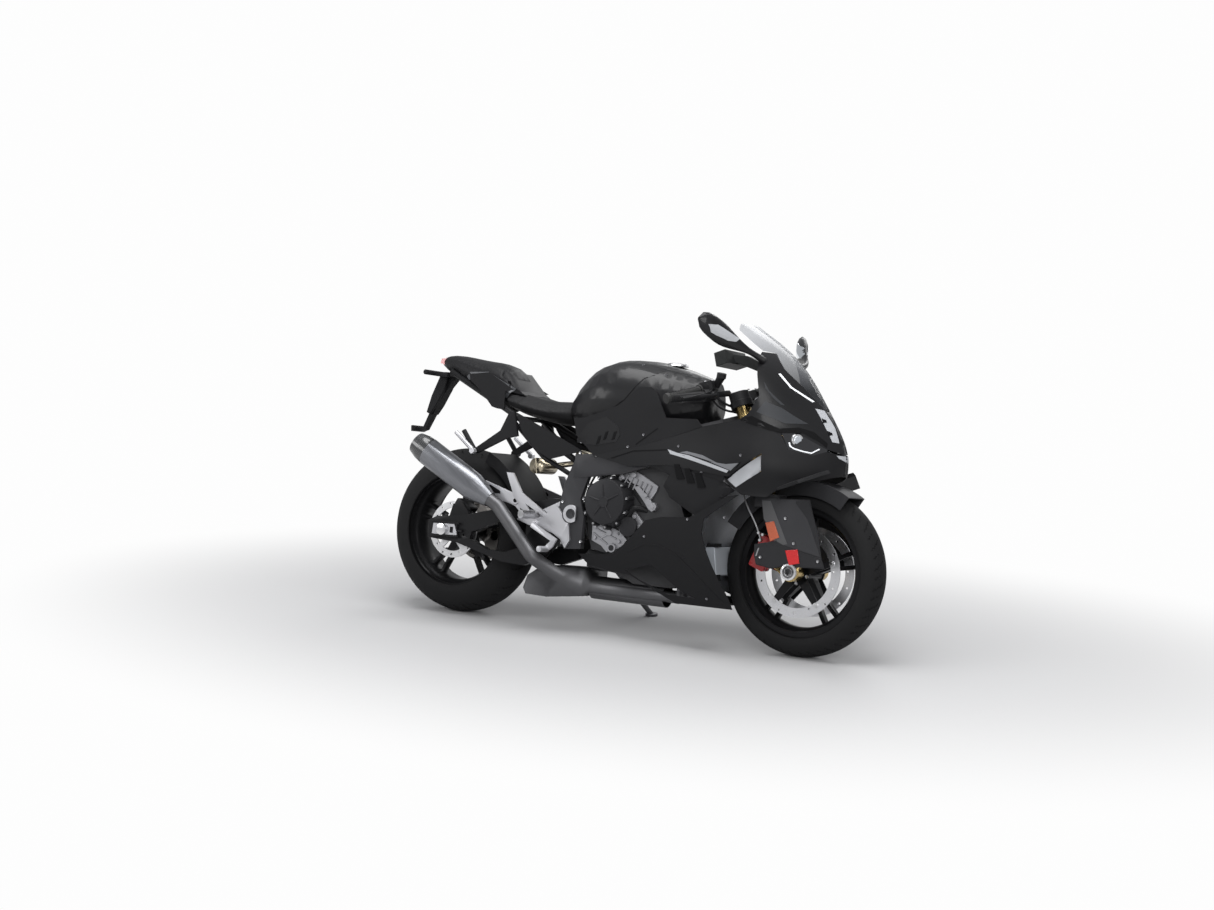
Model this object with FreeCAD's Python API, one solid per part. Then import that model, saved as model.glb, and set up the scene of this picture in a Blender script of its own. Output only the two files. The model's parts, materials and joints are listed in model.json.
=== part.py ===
import FreeCAD, Part
import math
import os

# A sport motorcycle in millimetres. It is modelled upright with X forward, Y to its left and Z up,
# the origin on the ground midway between the wheels, and then leaned on its side stand.
os.makedirs("parts", exist_ok=True)

# Lean on the side stand, with the steering straight
lean_angle = 9.36

# Running gear
wheelbase = 1457
body_height = 1205
body_width = 848
front_tyre_radius = 300
front_tyre_width = 120
rear_tyre_radius = 320
rear_tyre_width = 190
tyre_wall = 9
bead_radius = 216
flange_height = 14
flange_thickness = 5.5
bead_seat_width = 12
well_depth = 16
barrel_wall = 5
front_bead_width = 89
rear_bead_width = 152.4
tyre_facets = 72
shoulder_angle = 76
crown_angle = 43
spoke_count = 5
hub_radius = 44
front_hub_half = 57
rear_hub_half = 76
spoke_root_width = 46
spoke_tip_width = 22
spoke_root_depth = 44
spoke_tip_depth = 26
spoke_fork_share = 0.52
spoke_overlap_share = 0.92
spoke_spread = 15
axle_radius = 12.5
running_clearance = 0.05
seat_gap = 0.3
moving_gap = 5
cut_over = 2

# Brakes
front_disc_radius = 160
front_disc_inner = 126
front_disc_thickness = 4.5
front_disc_y = 64.5
rear_disc_radius = 110
rear_disc_inner = 84
rear_disc_thickness = 5
rear_disc_y = 92
drill_count = 15
drill_radius = 4
drill_inset = 9
carrier_radius = 31
carrier_root_width = 34
carrier_tip_width = 20
carrier_bore = 16.5
caliper_half_width = 24
caliper_depth = 62
caliper_length = 118
caliper_angle = 158
rear_caliper_angle = 62
rear_caliper_length = 74

# Final drive
chain_pitch = 15.875
rear_teeth = 45
front_teeth = 16
chain_y = 110
chain_half_width = 9.5
chain_plate_height = 14
sprocket_thickness = 7
sprocket_gap = 0.4
tooth_depth = 7
sprocket_rib = 26
gearbox_x = -28
gearbox_z = 432

# Steering and fork
rake = 23.6
fork_offset = 28.6
fork_half_span = 107
fork_length = 668
outer_tube_radius = 27.5
outer_tube_length = 340
inner_tube_radius = 22.5
fork_foot_radius = 33
fork_foot_width = 48
lower_yoke_height = 450
upper_yoke_height = 624
lower_yoke_thickness = 42
upper_yoke_thickness = 24
yoke_wall = 13
yoke_web_share = 0.52
stem_radius = 17
head_tube_radius = 37
yoke_gap = 1.5
axle_nut_radius = 29
axle_nut_thickness = 16
axle_overhang = 8

# Handlebars
bar_radius = 11
grip_radius = 16.5
bar_root_x = 436
bar_root_z = 909
bar_end_x = 304
bar_end_y = 345
bar_end_z = 866
grip_length = 128
bar_weight_length = 22
bar_weight_radius = 15
switch_length = 46
switch_radius = 22
lever_reach = 52
lever_radius = 6.5
lever_length = 150
clamp_height = 30
clamp_wall = 9

# Swingarm and frame
pivot_x = -149
pivot_z = 424
pivot_radius = 26
arm_inner = 126
arm_thickness = 27
frame_inner = 157
frame_thickness = 22
pivot_cap_radius = 31
pivot_bolt_radius = 12
pivot_cap_height = 9
rear_axle_nut_radius = 22
adjuster_length = 96
adjuster_height = 56
adjuster_thickness = 9

# Engine
engine_half_width = 150
head_half_width = 150
clutch_x = 4
clutch_z = 484
clutch_radius = 95
clutch_y = 204
pump_x = 93
pump_z = 402
pump_radius = 36
pump_y = 176
generator_x = 108
generator_z = 432
generator_radius = 76
generator_y = 176
cover_bevel = 7

# Radiator
radiator_half_width = 185
radiator_thickness = 34
cooler_half_width = 150
cooler_thickness = 30

# Exhaust
header_radius = 20
pipe_wall = 2
header_bend = 60
header_gap = 92
tail_pipe_radius = 26
link_radius = 43
silencer_radius = 54
silencer_flat_share = 0.88
silencer_facets = 28
silencer_cone_share = 0.8
cap_middle_share = 0.95
cap_end_share = 0.78
silencer_front_x = -495
silencer_front_y = -205
silencer_front_z = 452
silencer_end_x = -778
silencer_end_y = -228
silencer_end_z = 612
silencer_cap_length = 66
outlet_radius = 24
clamp_length = 44

# Bodywork
panel_wall = 3
lamp_depth = 34
seam = 1.5

# Stand
stand_pivot_x = -156
stand_pivot_y = 153
stand_pivot_z = 246
stand_foot_x = -40
stand_foot_y = 316
stand_leg_radius = 10
stand_boss_radius = 17
stand_boss_half = 11
stand_foot_radius = 24
stand_foot_thickness = 9
stand_fold_slope_y = 0.17
stand_fold_slope_z = 0.06

front_axle_x = wheelbase / 2
rear_axle_x = front_axle_x - wheelbase
front_axle_z = front_tyre_radius
rear_axle_z = rear_tyre_radius
flange_radius = bead_radius + flange_height


def at(x, y, z):
    return FreeCAD.Vector(x, y, z)


def outline(corner, size, shares):
    """Side-view points from shares of a piece's length and height."""
    return [(corner[0] + size[0] * a, corner[1] + size[1] * b) for a, b in shares]


def scaled(rows, *sizes):
    """Places from rows of shares, where each column is a share of its own size."""
    return [tuple(share * size for share, size in zip(row, sizes)) for row in rows]


def side_view(rows):
    """Side-view places from shares of the wheelbase and of the bike's height."""
    return scaled(rows, wheelbase, body_height)


def plate(points, y_from, y_to):
    """A flat piece with its outline in side view and its thickness across the bike."""
    loop = [at(x, y_from, z) for x, z in points]
    face = Part.Face(Part.makePolygon(loop + loop[:1]))
    return face.extrude(at(0, y_to - y_from, 0))


def rod(start, end, radius):
    span = end - start
    return Part.makeCylinder(radius, span.Length, start, span)


def cone(start, end, start_radius, end_radius):
    span = end - start
    return Part.makeCone(start_radius, end_radius, span.Length, start, span)


def cross_rod(x, z, y_from, y_to, radius):
    return rod(at(x, y_from, z), at(x, y_to, z), radius)


def turned(profile, x, z):
    """A ring about a wheel's axis from a closed wire or list of (radius, y) points."""
    loop = [at(x, y, z + r) for r, y in profile]
    face = Part.Face(Part.makePolygon(loop + loop[:1]))
    return face.revolve(at(x, 0, z), at(0, 1, 0), 360)


def smooth_edge(points):
    curve = Part.BSplineCurve()
    curve.interpolate(points)
    return curve.toShape()


def faired(points, count, closed):
    """Evenly spread points along a smooth curve through the given ones."""
    curve = Part.BSplineCurve()
    curve.interpolate(points, PeriodicFlag=closed)
    start, end = curve.FirstParameter, curve.LastParameter
    steps = count if closed else count - 1
    return [curve.value(start + (end - start) * index / steps) for index in range(count)]


def faired_body(sections, rows, count):
    """A closed body in fine facets, smooth round each section and along its length."""
    loops = [faired(section, count, True) for section in sections]
    columns = [faired([loop[index] for loop in loops], rows, False) for index in range(count)]
    rings = []
    for row in range(rows):
        ring = [column[row] for column in columns]
        rings.append(Part.makePolygon(ring + ring[:1]))
    return Part.makeLoft(rings, True, True)


def inset(points, normal, wall):
    """The same open curve moved inwards by a wall, within its own plane."""
    moved = []
    for i, point in enumerate(points):
        before = points[max(i - 1, 0)]
        after = points[min(i + 1, len(points) - 1)]
        side = (after - before).cross(normal)
        side.normalize()
        moved.append(point + side * wall)
    return moved


def strip(points, normal, wall):
    """A thin closed loop: an outer curve, the same curve inset, and two ends."""
    inner = inset(points, normal, wall)
    inner.reverse()
    return Part.Wire([
        smooth_edge(points),
        Part.makeLine(points[-1], inner[0]),
        smooth_edge(inner),
        Part.makeLine(inner[-1], points[0]),
    ])


def bent_tube(points, radius, bend):
    """A round tube along straight runs joined by tangent arcs."""
    edges = []
    last = points[0]
    for before, corner, after in zip(points, points[1:], points[2:]):
        into = (corner - before).normalize()
        out = (after - corner).normalize()
        turn = into.getAngle(out)
        reach = bend * math.tan(turn / 2)
        start = corner - into * reach
        end = corner + out * reach
        middle = out - into
        middle.normalize()
        rise = bend / math.cos(turn / 2) - bend
        edges.append(Part.makeLine(last, start))
        edges.append(Part.Arc(start, corner + middle * rise, end).toShape())
        last = end
    edges.append(Part.makeLine(last, points[-1]))
    first_run = points[1] - points[0]
    ring = Part.Wire(Part.makeCircle(radius, points[0], first_run))
    return Part.Wire(edges).makePipeShell([ring], True, False)


# Steering axis
rake_sin = math.sin(math.radians(rake))
rake_cos = math.cos(math.radians(rake))
steer_up = at(-rake_sin, 0, rake_cos)
steer_ahead = at(rake_cos, 0, rake_sin)
front_axle_point = at(front_axle_x, 0, front_axle_z)


def on_fork(along, side, ahead):
    """A point by its distance up the fork leg from the axle, to the left, and ahead of the legs."""
    return front_axle_point + steer_up * along + steer_ahead * ahead + at(0, side, 0)


def on_steering(along):
    return on_fork(along, 0, -fork_offset)


def tyre(x, z, radius, width, bead_width):
    """A tyre as a ring of flat facets, hollow and open down to its beads: crown, sidewalls and inside."""
    crown = width / 2
    hub = radius - crown
    half = bead_width / 2
    bead = bead_radius + seat_gap
    profile = [(flange_radius + seat_gap, -half)]
    for turn in (-shoulder_angle, -crown_angle, -lean_angle, lean_angle, crown_angle, shoulder_angle):
        angle = math.radians(turn)
        profile.append((hub + crown * math.cos(angle), crown * math.sin(angle)))
    angle = math.radians(crown_angle)
    inner = crown - tyre_wall
    profile += [(flange_radius + seat_gap, half), (bead, half), (bead, half - tyre_wall),
                (hub + inner * math.cos(angle), inner * math.sin(angle)),
                (hub + inner * math.cos(angle), -inner * math.sin(angle)),
                (bead, tyre_wall - half), (bead, -half)]
    rings = []
    for step in range(tyre_facets):
        around = 2 * math.pi * step / tyre_facets
        rings.append([at(x - reach * math.sin(around), y, z - reach * math.cos(around)) for reach, y in profile])
    faces = []
    for ring, following in zip(rings, rings[1:] + rings[:1]):
        for index in range(len(profile)):
            corners = [ring[index - 1], ring[index], following[index], following[index - 1]]
            faces.append(Part.Face(Part.makePolygon(corners + corners[:1])))
    shell = Part.Shell(faces)
    shell.sewShape()
    solid = Part.Solid(Part.Shell(shell.Faces))
    if solid.Volume < 0:
        solid.reverse()
    return solid


def block_between(centre, depth_from, depth_to, half_width_from, half_width_to, span, turn):
    """A tapered wheel spoke run from one radius to another, turned about the wheel's axis."""
    loops = []
    for radius, depth, half in ((span[0], depth_from, half_width_from), (span[1], depth_to, half_width_to)):
        corners = [
            at(-half, -depth / 2, radius),
            at(half, -depth / 2, radius),
            at(half, depth / 2, radius),
            at(-half, depth / 2, radius),
        ]
        loops.append(Part.makePolygon(corners + corners[:1]))
    shape = Part.makeLoft(loops, True, True)
    shape.rotate(at(0, 0, 0), at(0, 1, 0), turn)
    shape.translate(centre)
    return shape


def rim(x, z, bead_width, hub_half):
    """A cast wheel: rim barrel with bead seats and a well, five forked spokes and a bored hub."""
    half = bead_width / 2
    edge = half + flange_thickness
    seat = half - bead_seat_width
    well = seat - well_depth
    well_radius = bead_radius - well_depth
    profile = [
        (flange_radius, edge), (flange_radius, half), (bead_radius, half), (bead_radius, seat),
        (well_radius, well), (well_radius, -well), (bead_radius, -seat), (bead_radius, -half),
        (flange_radius, -half), (flange_radius, -edge), (bead_radius - barrel_wall, -edge),
        (bead_radius - barrel_wall, -seat), (well_radius - barrel_wall, -well),
        (well_radius - barrel_wall, well), (bead_radius - barrel_wall, seat),
        (bead_radius - barrel_wall, edge),
    ]
    wheel = turned(profile, x, z)
    centre = at(x, 0, z)
    fork_radius = hub_radius + (well_radius - hub_radius) * spoke_fork_share
    reach = well_radius - barrel_wall / 2
    bodies = [cross_rod(x, z, -hub_half, hub_half, hub_radius)]
    for index in range(spoke_count):
        turn = index * 360 / spoke_count
        bodies.append(block_between(centre, spoke_root_depth, spoke_tip_depth, spoke_root_width / 2,
                                    spoke_tip_width / 2, (hub_radius / 2, fork_radius), turn))
        for side in (-1, 1):
            bodies.append(block_between(centre, spoke_tip_depth, spoke_tip_depth, spoke_tip_width / 3,
                                        spoke_tip_width / 3, (fork_radius * spoke_overlap_share, reach),
                                        turn + side * spoke_spread / 2))
    wheel = wheel.fuse(bodies)
    bore = cross_rod(x, z, -hub_half - cut_over, hub_half + cut_over, axle_radius + running_clearance)
    return wheel.cut(bore)


def disc(x, z, y, radius, inner, thickness, inner_y):
    """A brake disc: a drilled ring on a five-armed carrier, which is seated on the hub's face."""
    low = y - thickness / 2
    high = y + thickness / 2
    ring = cross_rod(x, z, low, high, radius)
    openings = [cross_rod(x, z, low - cut_over, high + cut_over, inner)]
    for index in range(drill_count):
        turn = 2 * math.pi * (index + 1 / 2) / drill_count
        row = (inner + drill_inset, (inner + radius) / 2, radius - drill_inset)[index % 3]
        openings.append(cross_rod(x + row * math.sin(turn), z + row * math.cos(turn), low - cut_over,
                                  high + cut_over, drill_radius))
    arms = []
    for index in range(spoke_count):
        arms.append(block_between(at(x, y, z), thickness, thickness, carrier_root_width / 2,
                                  carrier_tip_width / 2, (hub_radius / 2, inner + drill_inset / 2),
                                  index * 360 / spoke_count))
    spacer_from, spacer_to = sorted((inner_y, y))
    arms.append(cross_rod(x, z, spacer_from, spacer_to, carrier_radius))
    arms.append(cross_rod(x, z, low, high, carrier_radius + yoke_wall))
    bore = cross_rod(x, z, min(inner_y, low) - cut_over, max(inner_y, high) + cut_over, carrier_bore)
    return ring.cut(openings).fuse(arms).cut(bore)


def sprocket_radius(teeth):
    return chain_pitch / 2 / math.sin(math.pi / teeth)


def sprocket(x, z, teeth, y):
    """A toothed wheel whose tips stay just inside the chain's rollers."""
    root = sprocket_radius(teeth) - tooth_depth
    tip = sprocket_radius(teeth) - sprocket_gap
    loop = []
    for index in range(teeth):
        for step, radius in ((0, root), (1 / 3, tip), (2 / 3, tip)):
            turn = 2 * math.pi * (index + step) / teeth
            loop.append((x + radius * math.sin(turn), z + radius * math.cos(turn)))
    return plate(loop, y - sprocket_thickness / 2, y + sprocket_thickness / 2)


def rear_sprocket():
    body = sprocket(rear_axle_x, rear_axle_z, rear_teeth, chain_y)
    ring = sprocket_radius(rear_teeth) - tooth_depth - sprocket_rib
    half = sprocket_thickness / 2
    openings = []
    slot_radius = (ring + hub_radius) / 2
    for index in range(spoke_count):
        turn = math.radians((index + 1 / 2) * 360 / spoke_count)
        openings.append(cross_rod(rear_axle_x + slot_radius * math.sin(turn),
                                  rear_axle_z + slot_radius * math.cos(turn),
                                  chain_y - half - cut_over, chain_y + half + cut_over,
                                  (ring - hub_radius) / 2))
    body = body.fuse(cross_rod(rear_axle_x, rear_axle_z, rear_hub_half, chain_y, carrier_radius))
    openings.append(cross_rod(rear_axle_x, rear_axle_z, rear_hub_half - cut_over, chain_y + half + cut_over,
                              carrier_bore))
    return body.cut(openings)


def chain_loop(offset):
    """The chain's path as two arcs and two tangents, moved outwards by an offset."""
    rear = (rear_axle_x, rear_axle_z, sprocket_radius(rear_teeth) + offset)
    front = (gearbox_x, gearbox_z, sprocket_radius(front_teeth) + offset)
    run_x = front[0] - rear[0]
    run_z = front[1] - rear[1]
    span = math.hypot(run_x, run_z)
    tilt = math.atan2(run_z, run_x)
    spread = math.acos((rear[2] - front[2]) / span)

    def point(circle, turn):
        return at(circle[0] + circle[2] * math.cos(turn), 0, circle[1] + circle[2] * math.sin(turn))

    up, down = tilt + spread, tilt - spread
    edges = [
        Part.makeLine(point(rear, up), point(front, up)),
        Part.Arc(point(front, up), point(front, tilt), point(front, down)).toShape(),
        Part.makeLine(point(front, down), point(rear, down)),
        Part.Arc(point(rear, down), point(rear, tilt + math.pi), point(rear, up)).toShape(),
    ]
    return Part.Wire(edges)


def drive_chain():
    """The chain as one closed band at its real path and height."""
    outer = Part.Face(chain_loop(chain_plate_height / 2))
    inner = Part.Face(chain_loop(-chain_plate_height / 2))
    band = outer.cut(inner).extrude(at(0, 2 * chain_half_width, 0))
    band.translate(at(0, chain_y - chain_half_width, 0))
    slot_half = sprocket_thickness / 2 + moving_gap / 2
    groove = Part.Face(chain_loop(0)).extrude(at(0, 2 * slot_half, 0))
    groove.translate(at(0, chain_y - slot_half, 0))
    return band.cut(groove)


def front_axle():
    end = fork_half_span + fork_foot_width / 2
    body = cross_rod(front_axle_x, front_axle_z, -end - axle_overhang, end, axle_radius)
    nut = cross_rod(front_axle_x, front_axle_z, -end - axle_nut_thickness, -end - seat_gap, axle_nut_radius)
    return body.fuse(nut)


def rear_axle():
    end = arm_inner + arm_thickness + adjuster_thickness
    body = cross_rod(rear_axle_x, rear_axle_z, -end - axle_overhang, end + axle_overhang, axle_radius)
    nuts = [
        cross_rod(rear_axle_x, rear_axle_z, side * end, side * (end + axle_nut_thickness),
                  rear_axle_nut_radius)
        for side in (-1, 1)
    ]
    return body.fuse(nuts)


caliper_arm_shares = [(0.4997, 0.229), (0.4914, 0.2921), (0.453, 0.3037), (0.4146, 0.3187),
                      (0.4049, 0.2871), (0.4365, 0.2639), (0.4736, 0.2324)]
caliper_arm_outline = side_view(caliper_arm_shares)
caliper_arm_thickness = 12


def fork_legs():
    """Two upside-down fork legs: wide outer tubes, slim inner tubes and axle feet."""
    legs = []
    for side in (-1, 1):
        y = side * fork_half_span
        outer_low = fork_length - outer_tube_length
        leg = rod(on_fork(outer_low, y, 0), on_fork(fork_length, y, 0), outer_tube_radius)
        inner = rod(on_fork(0, y, 0), on_fork(outer_low + cut_over, y, 0), inner_tube_radius)
        foot = cross_rod(front_axle_x, front_axle_z, y - fork_foot_width / 2, y + fork_foot_width / 2,
                         fork_foot_radius)
        near = side * (front_disc_y + caliper_half_width + seat_gap)
        arm = plate(caliper_arm_outline, near, near + side * caliper_arm_thickness)
        leg = leg.fuse([inner, foot, arm])
        legs.append(leg.cut(cross_rod(front_axle_x, front_axle_z, -2 * fork_half_span, 2 * fork_half_span,
                                      axle_radius)))
    return Part.makeCompound(legs)


def yoke(along, thickness):
    """A clamp plate across both fork legs with a boss round the steering stem."""
    low = along - thickness / 2
    high = along + thickness / 2
    half = outer_tube_radius + yoke_wall
    parts = []
    for side in (-1, 1):
        y = side * fork_half_span
        parts.append(rod(on_fork(low, y, 0), on_fork(high, y, 0), half))
    corners = [
        on_fork(low, -fork_half_span, half * yoke_web_share),
        on_fork(low, fork_half_span, half * yoke_web_share),
        on_fork(low, stem_radius + yoke_wall, -fork_offset - stem_radius - yoke_wall),
        on_fork(low, -stem_radius - yoke_wall, -fork_offset - stem_radius - yoke_wall),
    ]
    web = Part.Face(Part.makePolygon(corners + corners[:1])).extrude(steer_up * thickness)
    body = parts[0].fuse([parts[1], web])
    for side in (-1, 1):
        y = side * fork_half_span
        body = body.cut(rod(on_fork(low - cut_over, y, 0), on_fork(high + cut_over, y, 0), outer_tube_radius))
    return body


def fork_yokes():
    """Both yokes joined by the steering stem."""
    stem = rod(on_steering(lower_yoke_height), on_steering(upper_yoke_height), stem_radius)
    return yoke(lower_yoke_height, lower_yoke_thickness).fuse(
        [yoke(upper_yoke_height, upper_yoke_thickness), stem])


def handlebars():
    """Clip-on bars: clamps round the fork tubes, bars, grips, end weights, switches and levers."""
    sides = []
    for side in (-1, 1):
        y = side * fork_half_span
        low = upper_yoke_height + upper_yoke_thickness / 2 + seat_gap
        clamp = rod(on_fork(low, y, 0), on_fork(low + clamp_height, y, 0), outer_tube_radius + clamp_wall)
        root = at(bar_root_x, side * (fork_half_span + clamp_wall), bar_root_z)
        tip = at(bar_end_x, side * bar_end_y, bar_end_z)
        run = (tip - root).normalize()
        grip_start = tip - run * (grip_length + bar_weight_length)
        pieces = [
            rod(on_fork(low + clamp_height / 2, y, 0), root, bar_radius),
            rod(root - run * bar_radius, tip, bar_radius),
            rod(grip_start, tip - run * bar_weight_length, grip_radius),
            rod(tip - run * bar_weight_length, tip, bar_weight_radius),
            rod(grip_start - run * switch_length, grip_start, switch_radius),
        ]
        ahead = at(run.y * side, -run.x * side, 0).normalize()
        lever_root = grip_start - run * (switch_length / 2)
        knuckle = lever_root + ahead * lever_reach
        lever_tip = knuckle + run * lever_length
        pieces.append(rod(lever_root, knuckle, lever_radius * 2))
        pieces.append(rod(knuckle, lever_tip, lever_radius))
        clip = clamp.fuse(pieces)
        tube = rod(on_fork(low - cut_over, y, 0), on_fork(low + 2 * clamp_height, y, 0),
                   outer_tube_radius)
        sides.append(clip.cut(tube))
    return Part.makeCompound(sides)


def arch(x, z, inner, outer, half_width, turn_from, turn_to):
    """A band curved round a wheel between two angles, measured up from the front."""
    start = math.radians(turn_from)
    end = math.radians(turn_to)
    middle = (start + end) / 2

    def point(radius, turn):
        return at(x + radius * math.cos(turn), -half_width, z + radius * math.sin(turn))

    edges = [
        Part.Arc(point(outer, start), point(outer, middle), point(outer, end)).toShape(),
        Part.makeLine(point(outer, end), point(inner, end)),
        Part.Arc(point(inner, end), point(inner, middle), point(inner, start)).toShape(),
        Part.makeLine(point(inner, start), point(outer, start)),
    ]
    return Part.Face(Part.Wire(edges)).extrude(at(0, 2 * half_width, 0))


guard_gap = 20
guard_wall = 3
guard_half_width = 72
guard_front_angle = 58
guard_rear_angle = 152
guard_skirt = 52
cover_thickness = 4
cover_y = 139
cover_shares = [(0.041, 0.968), (0.1, 0.673), (0.241, 0.49), (0.304, 0.394), (0, 0.319), (0.004, 0.167),
                (0.044, 0.036), (0.267, 0), (0.426, 0.052), (0.693, 0.06), (1, 0.076), (0.944, 0.227),
                (0.885, 0.518), (0.778, 0.825), (0.726, 1)]
guard_web_shares = [(-0.05, 0.841), (0.289, 0.857), (0.289, 1.024), (-0.037, 1.04)]
cover_x = 590
cover_z = 305
cover_length = 270
cover_height = 251


def front_mudguard():
    """The front mudguard: an arched shell with side skirts and a long cover over each fork leg."""
    inner = front_tyre_radius + guard_gap
    x, z = front_axle_x, front_axle_z
    top = arch(x, z, inner, inner + guard_wall, guard_half_width, guard_front_angle, guard_rear_angle)
    pieces = []
    for side in (-1, 1):
        skirt = arch(x, z, inner - guard_skirt, inner + guard_wall, guard_wall / 2, guard_front_angle,
                     guard_rear_angle)
        skirt.translate(at(0, side * (guard_half_width - guard_wall / 2), 0))
        pieces.append(skirt)
        points = outline((cover_x, cover_z), (cover_length, cover_height), cover_shares)
        outer = side * cover_y
        pieces.append(plate(points, outer, outer + side * cover_thickness))
        web = outline((cover_x, cover_z), (cover_length, cover_height), guard_web_shares)
        pieces.append(plate(web, side * guard_half_width, outer + side * cover_thickness / 2))
    body = top.fuse(pieces)
    legs = [
        rod(on_fork(0, side * fork_half_span, 0), on_fork(fork_length, side * fork_half_span, 0),
            inner_tube_radius + seat_gap)
        for side in (-1, 1)
    ]
    upper = [
        rod(on_fork(fork_length - outer_tube_length - seat_gap, side * fork_half_span, 0),
            on_fork(fork_length, side * fork_half_span, 0), outer_tube_radius + seat_gap)
        for side in (-1, 1)
    ]
    nut = cross_rod(front_axle_x, front_axle_z, -2 * cover_y, 2 * cover_y, axle_nut_radius + seam)
    return body.cut(legs + upper + [nut])


def caliper(x, z, disc_y, disc_thickness, disc_radius, turn, length, outward):
    """A caliper over a disc's edge, seen end on as a block with a slot that clears the disc."""
    half = caliper_half_width
    mid = math.radians(turn)
    reach = disc_radius + yoke_wall
    out = reach - caliper_depth / 2
    centre = at(x + out * math.cos(mid), disc_y, z + out * math.sin(mid))
    corner = at(-caliper_depth / 2, -half, -length / 2)
    block = Part.makeBox(caliper_depth, 2 * half, length, corner)
    block = block.makeFillet(cover_bevel, [e for e in block.Edges if abs(e.tangentAt(0).y) > 1 / 2])
    slot_half = disc_thickness / 2 + moving_gap
    slot = Part.makeBox(caliper_depth, 2 * slot_half, length + 2 * cut_over,
                        at(-caliper_depth / 2 - yoke_wall + moving_gap, -slot_half, -length / 2 - cut_over))
    block = block.cut(slot)
    block.rotate(at(0, 0, 0), at(0, 1, 0), -turn)
    block.translate(centre)
    return block


def front_calipers():
    parts = []
    for side in (-1, 1):
        body = caliper(front_axle_x, front_axle_z, side * front_disc_y, front_disc_thickness,
                       front_disc_radius, caliper_angle, caliper_length, side)
        parts.append(body)
    return Part.makeCompound(parts)


rear_hanger_shares = [(-0.5161, 0.2456), (-0.4832, 0.2456), (-0.4393, 0.3253), (-0.464, 0.3568),
                      (-0.4914, 0.3485)]
rear_hanger_outline = side_view(rear_hanger_shares)


def rear_caliper():
    """The rear caliper on its hanger plate, which the axle passes through beside the right arm."""
    body = caliper(rear_axle_x, rear_axle_z, -rear_disc_y, rear_disc_thickness, rear_disc_radius,
                   rear_caliper_angle, rear_caliper_length, -1)
    hanger = plate(rear_hanger_outline, -arm_inner + seat_gap,
                   -rear_disc_y - caliper_half_width + moving_gap)
    bore = cross_rod(rear_axle_x, rear_axle_z, -arm_inner - cut_over, 0, axle_radius + running_clearance)
    return body.fuse(hanger).cut(bore)


arm_corner = (-803, 216)
arm_size = (694, 262)
arm_shares = [(0, 0.26), (0, 0.52), (0.05, 0.58), (0.19, 0.615), (0.4, 0.74), (0.62, 0.88), (0.8, 1),
              (0.97, 0.99), (1, 0.8), (0.98, 0.66), (0.86, 0.4), (0.76, 0.12), (0.64, 0), (0.5, 0.02),
              (0.19, 0.225), (0.02, 0.25)]
arm_window_shares = [(0.28, 0.3), (0.29, 0.4), (0.5, 0.62), (0.66, 0.72), (0.7, 0.6), (0.6, 0.24),
                     (0.52, 0.16), (0.4, 0.17)]
bridge_shares = [(0.62, 0.3), (0.62, 0.84), (0.8, 0.96), (0.9, 0.94), (0.88, 0.62), (0.74, 0.3)]
bridge_link_shares = [(0.62, 0.38), (0.62, 0.84), (0.87, 0.885), (0.9, 0.8), (0.88, 0.62), (0.74, 0.48)]


stand_hole_x = -638
stand_hole_z = 306
stand_hole_radius = 4
stand_hole_depth = 20
hollow_share = 0.86


def shrunk(points, share):
    """An outline drawn in towards its middle."""
    mid_x = sum(x for x, z in points) / len(points)
    mid_z = sum(z for x, z in points) / len(points)
    return [(mid_x + (x - mid_x) * share, mid_z + (z - mid_z) * share) for x, z in points]


def swingarm():
    """The swingarm: two windowed side arms, the bridge ahead of the tyre and the pivot tube."""
    parts = []
    for side in (-1, 1):
        inner = side * arm_inner
        outer = side * (arm_inner + arm_thickness)
        arm = plate(outline(arm_corner, arm_size, arm_shares), inner, outer)
        window = plate(outline(arm_corner, arm_size, arm_window_shares), inner - side * cut_over,
                       outer + side * cut_over)
        parts.append(arm.cut(window))
        block = Part.makeBox(adjuster_length, adjuster_thickness, adjuster_height,
                             at(rear_axle_x - adjuster_length / 3,
                                outer if side > 0 else outer - adjuster_thickness,
                                rear_axle_z - adjuster_height / 2))
        parts.append(block)
    chain_side = chain_y - chain_half_width - moving_gap
    bridge = plate(outline(arm_corner, arm_size, bridge_shares), -arm_inner, chain_side)
    parts.append(plate(outline(arm_corner, arm_size, bridge_link_shares), chain_side, arm_inner))
    tube = cross_rod(pivot_x, pivot_z, -arm_inner - arm_thickness, arm_inner + arm_thickness, pivot_radius)
    body = bridge.fuse(parts + [tube])
    span = 2 * arm_inner
    bores = [
        cross_rod(rear_axle_x, rear_axle_z, -span, span, axle_radius),
        cross_rod(pivot_x, pivot_z, -span, span, pivot_bolt_radius + seat_gap),
        plate(shrunk(outline(arm_corner, arm_size, bridge_shares), hollow_share),
              adjuster_thickness - arm_inner, chain_side - adjuster_thickness),
    ]
    for side in (-1, 1):
        outer = side * (arm_inner + arm_thickness)
        bores.append(cross_rod(stand_hole_x, stand_hole_z,
                               outer - side * stand_hole_depth, outer + side * cut_over,
                               stand_hole_radius))
    return body.cut(bores)


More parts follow.
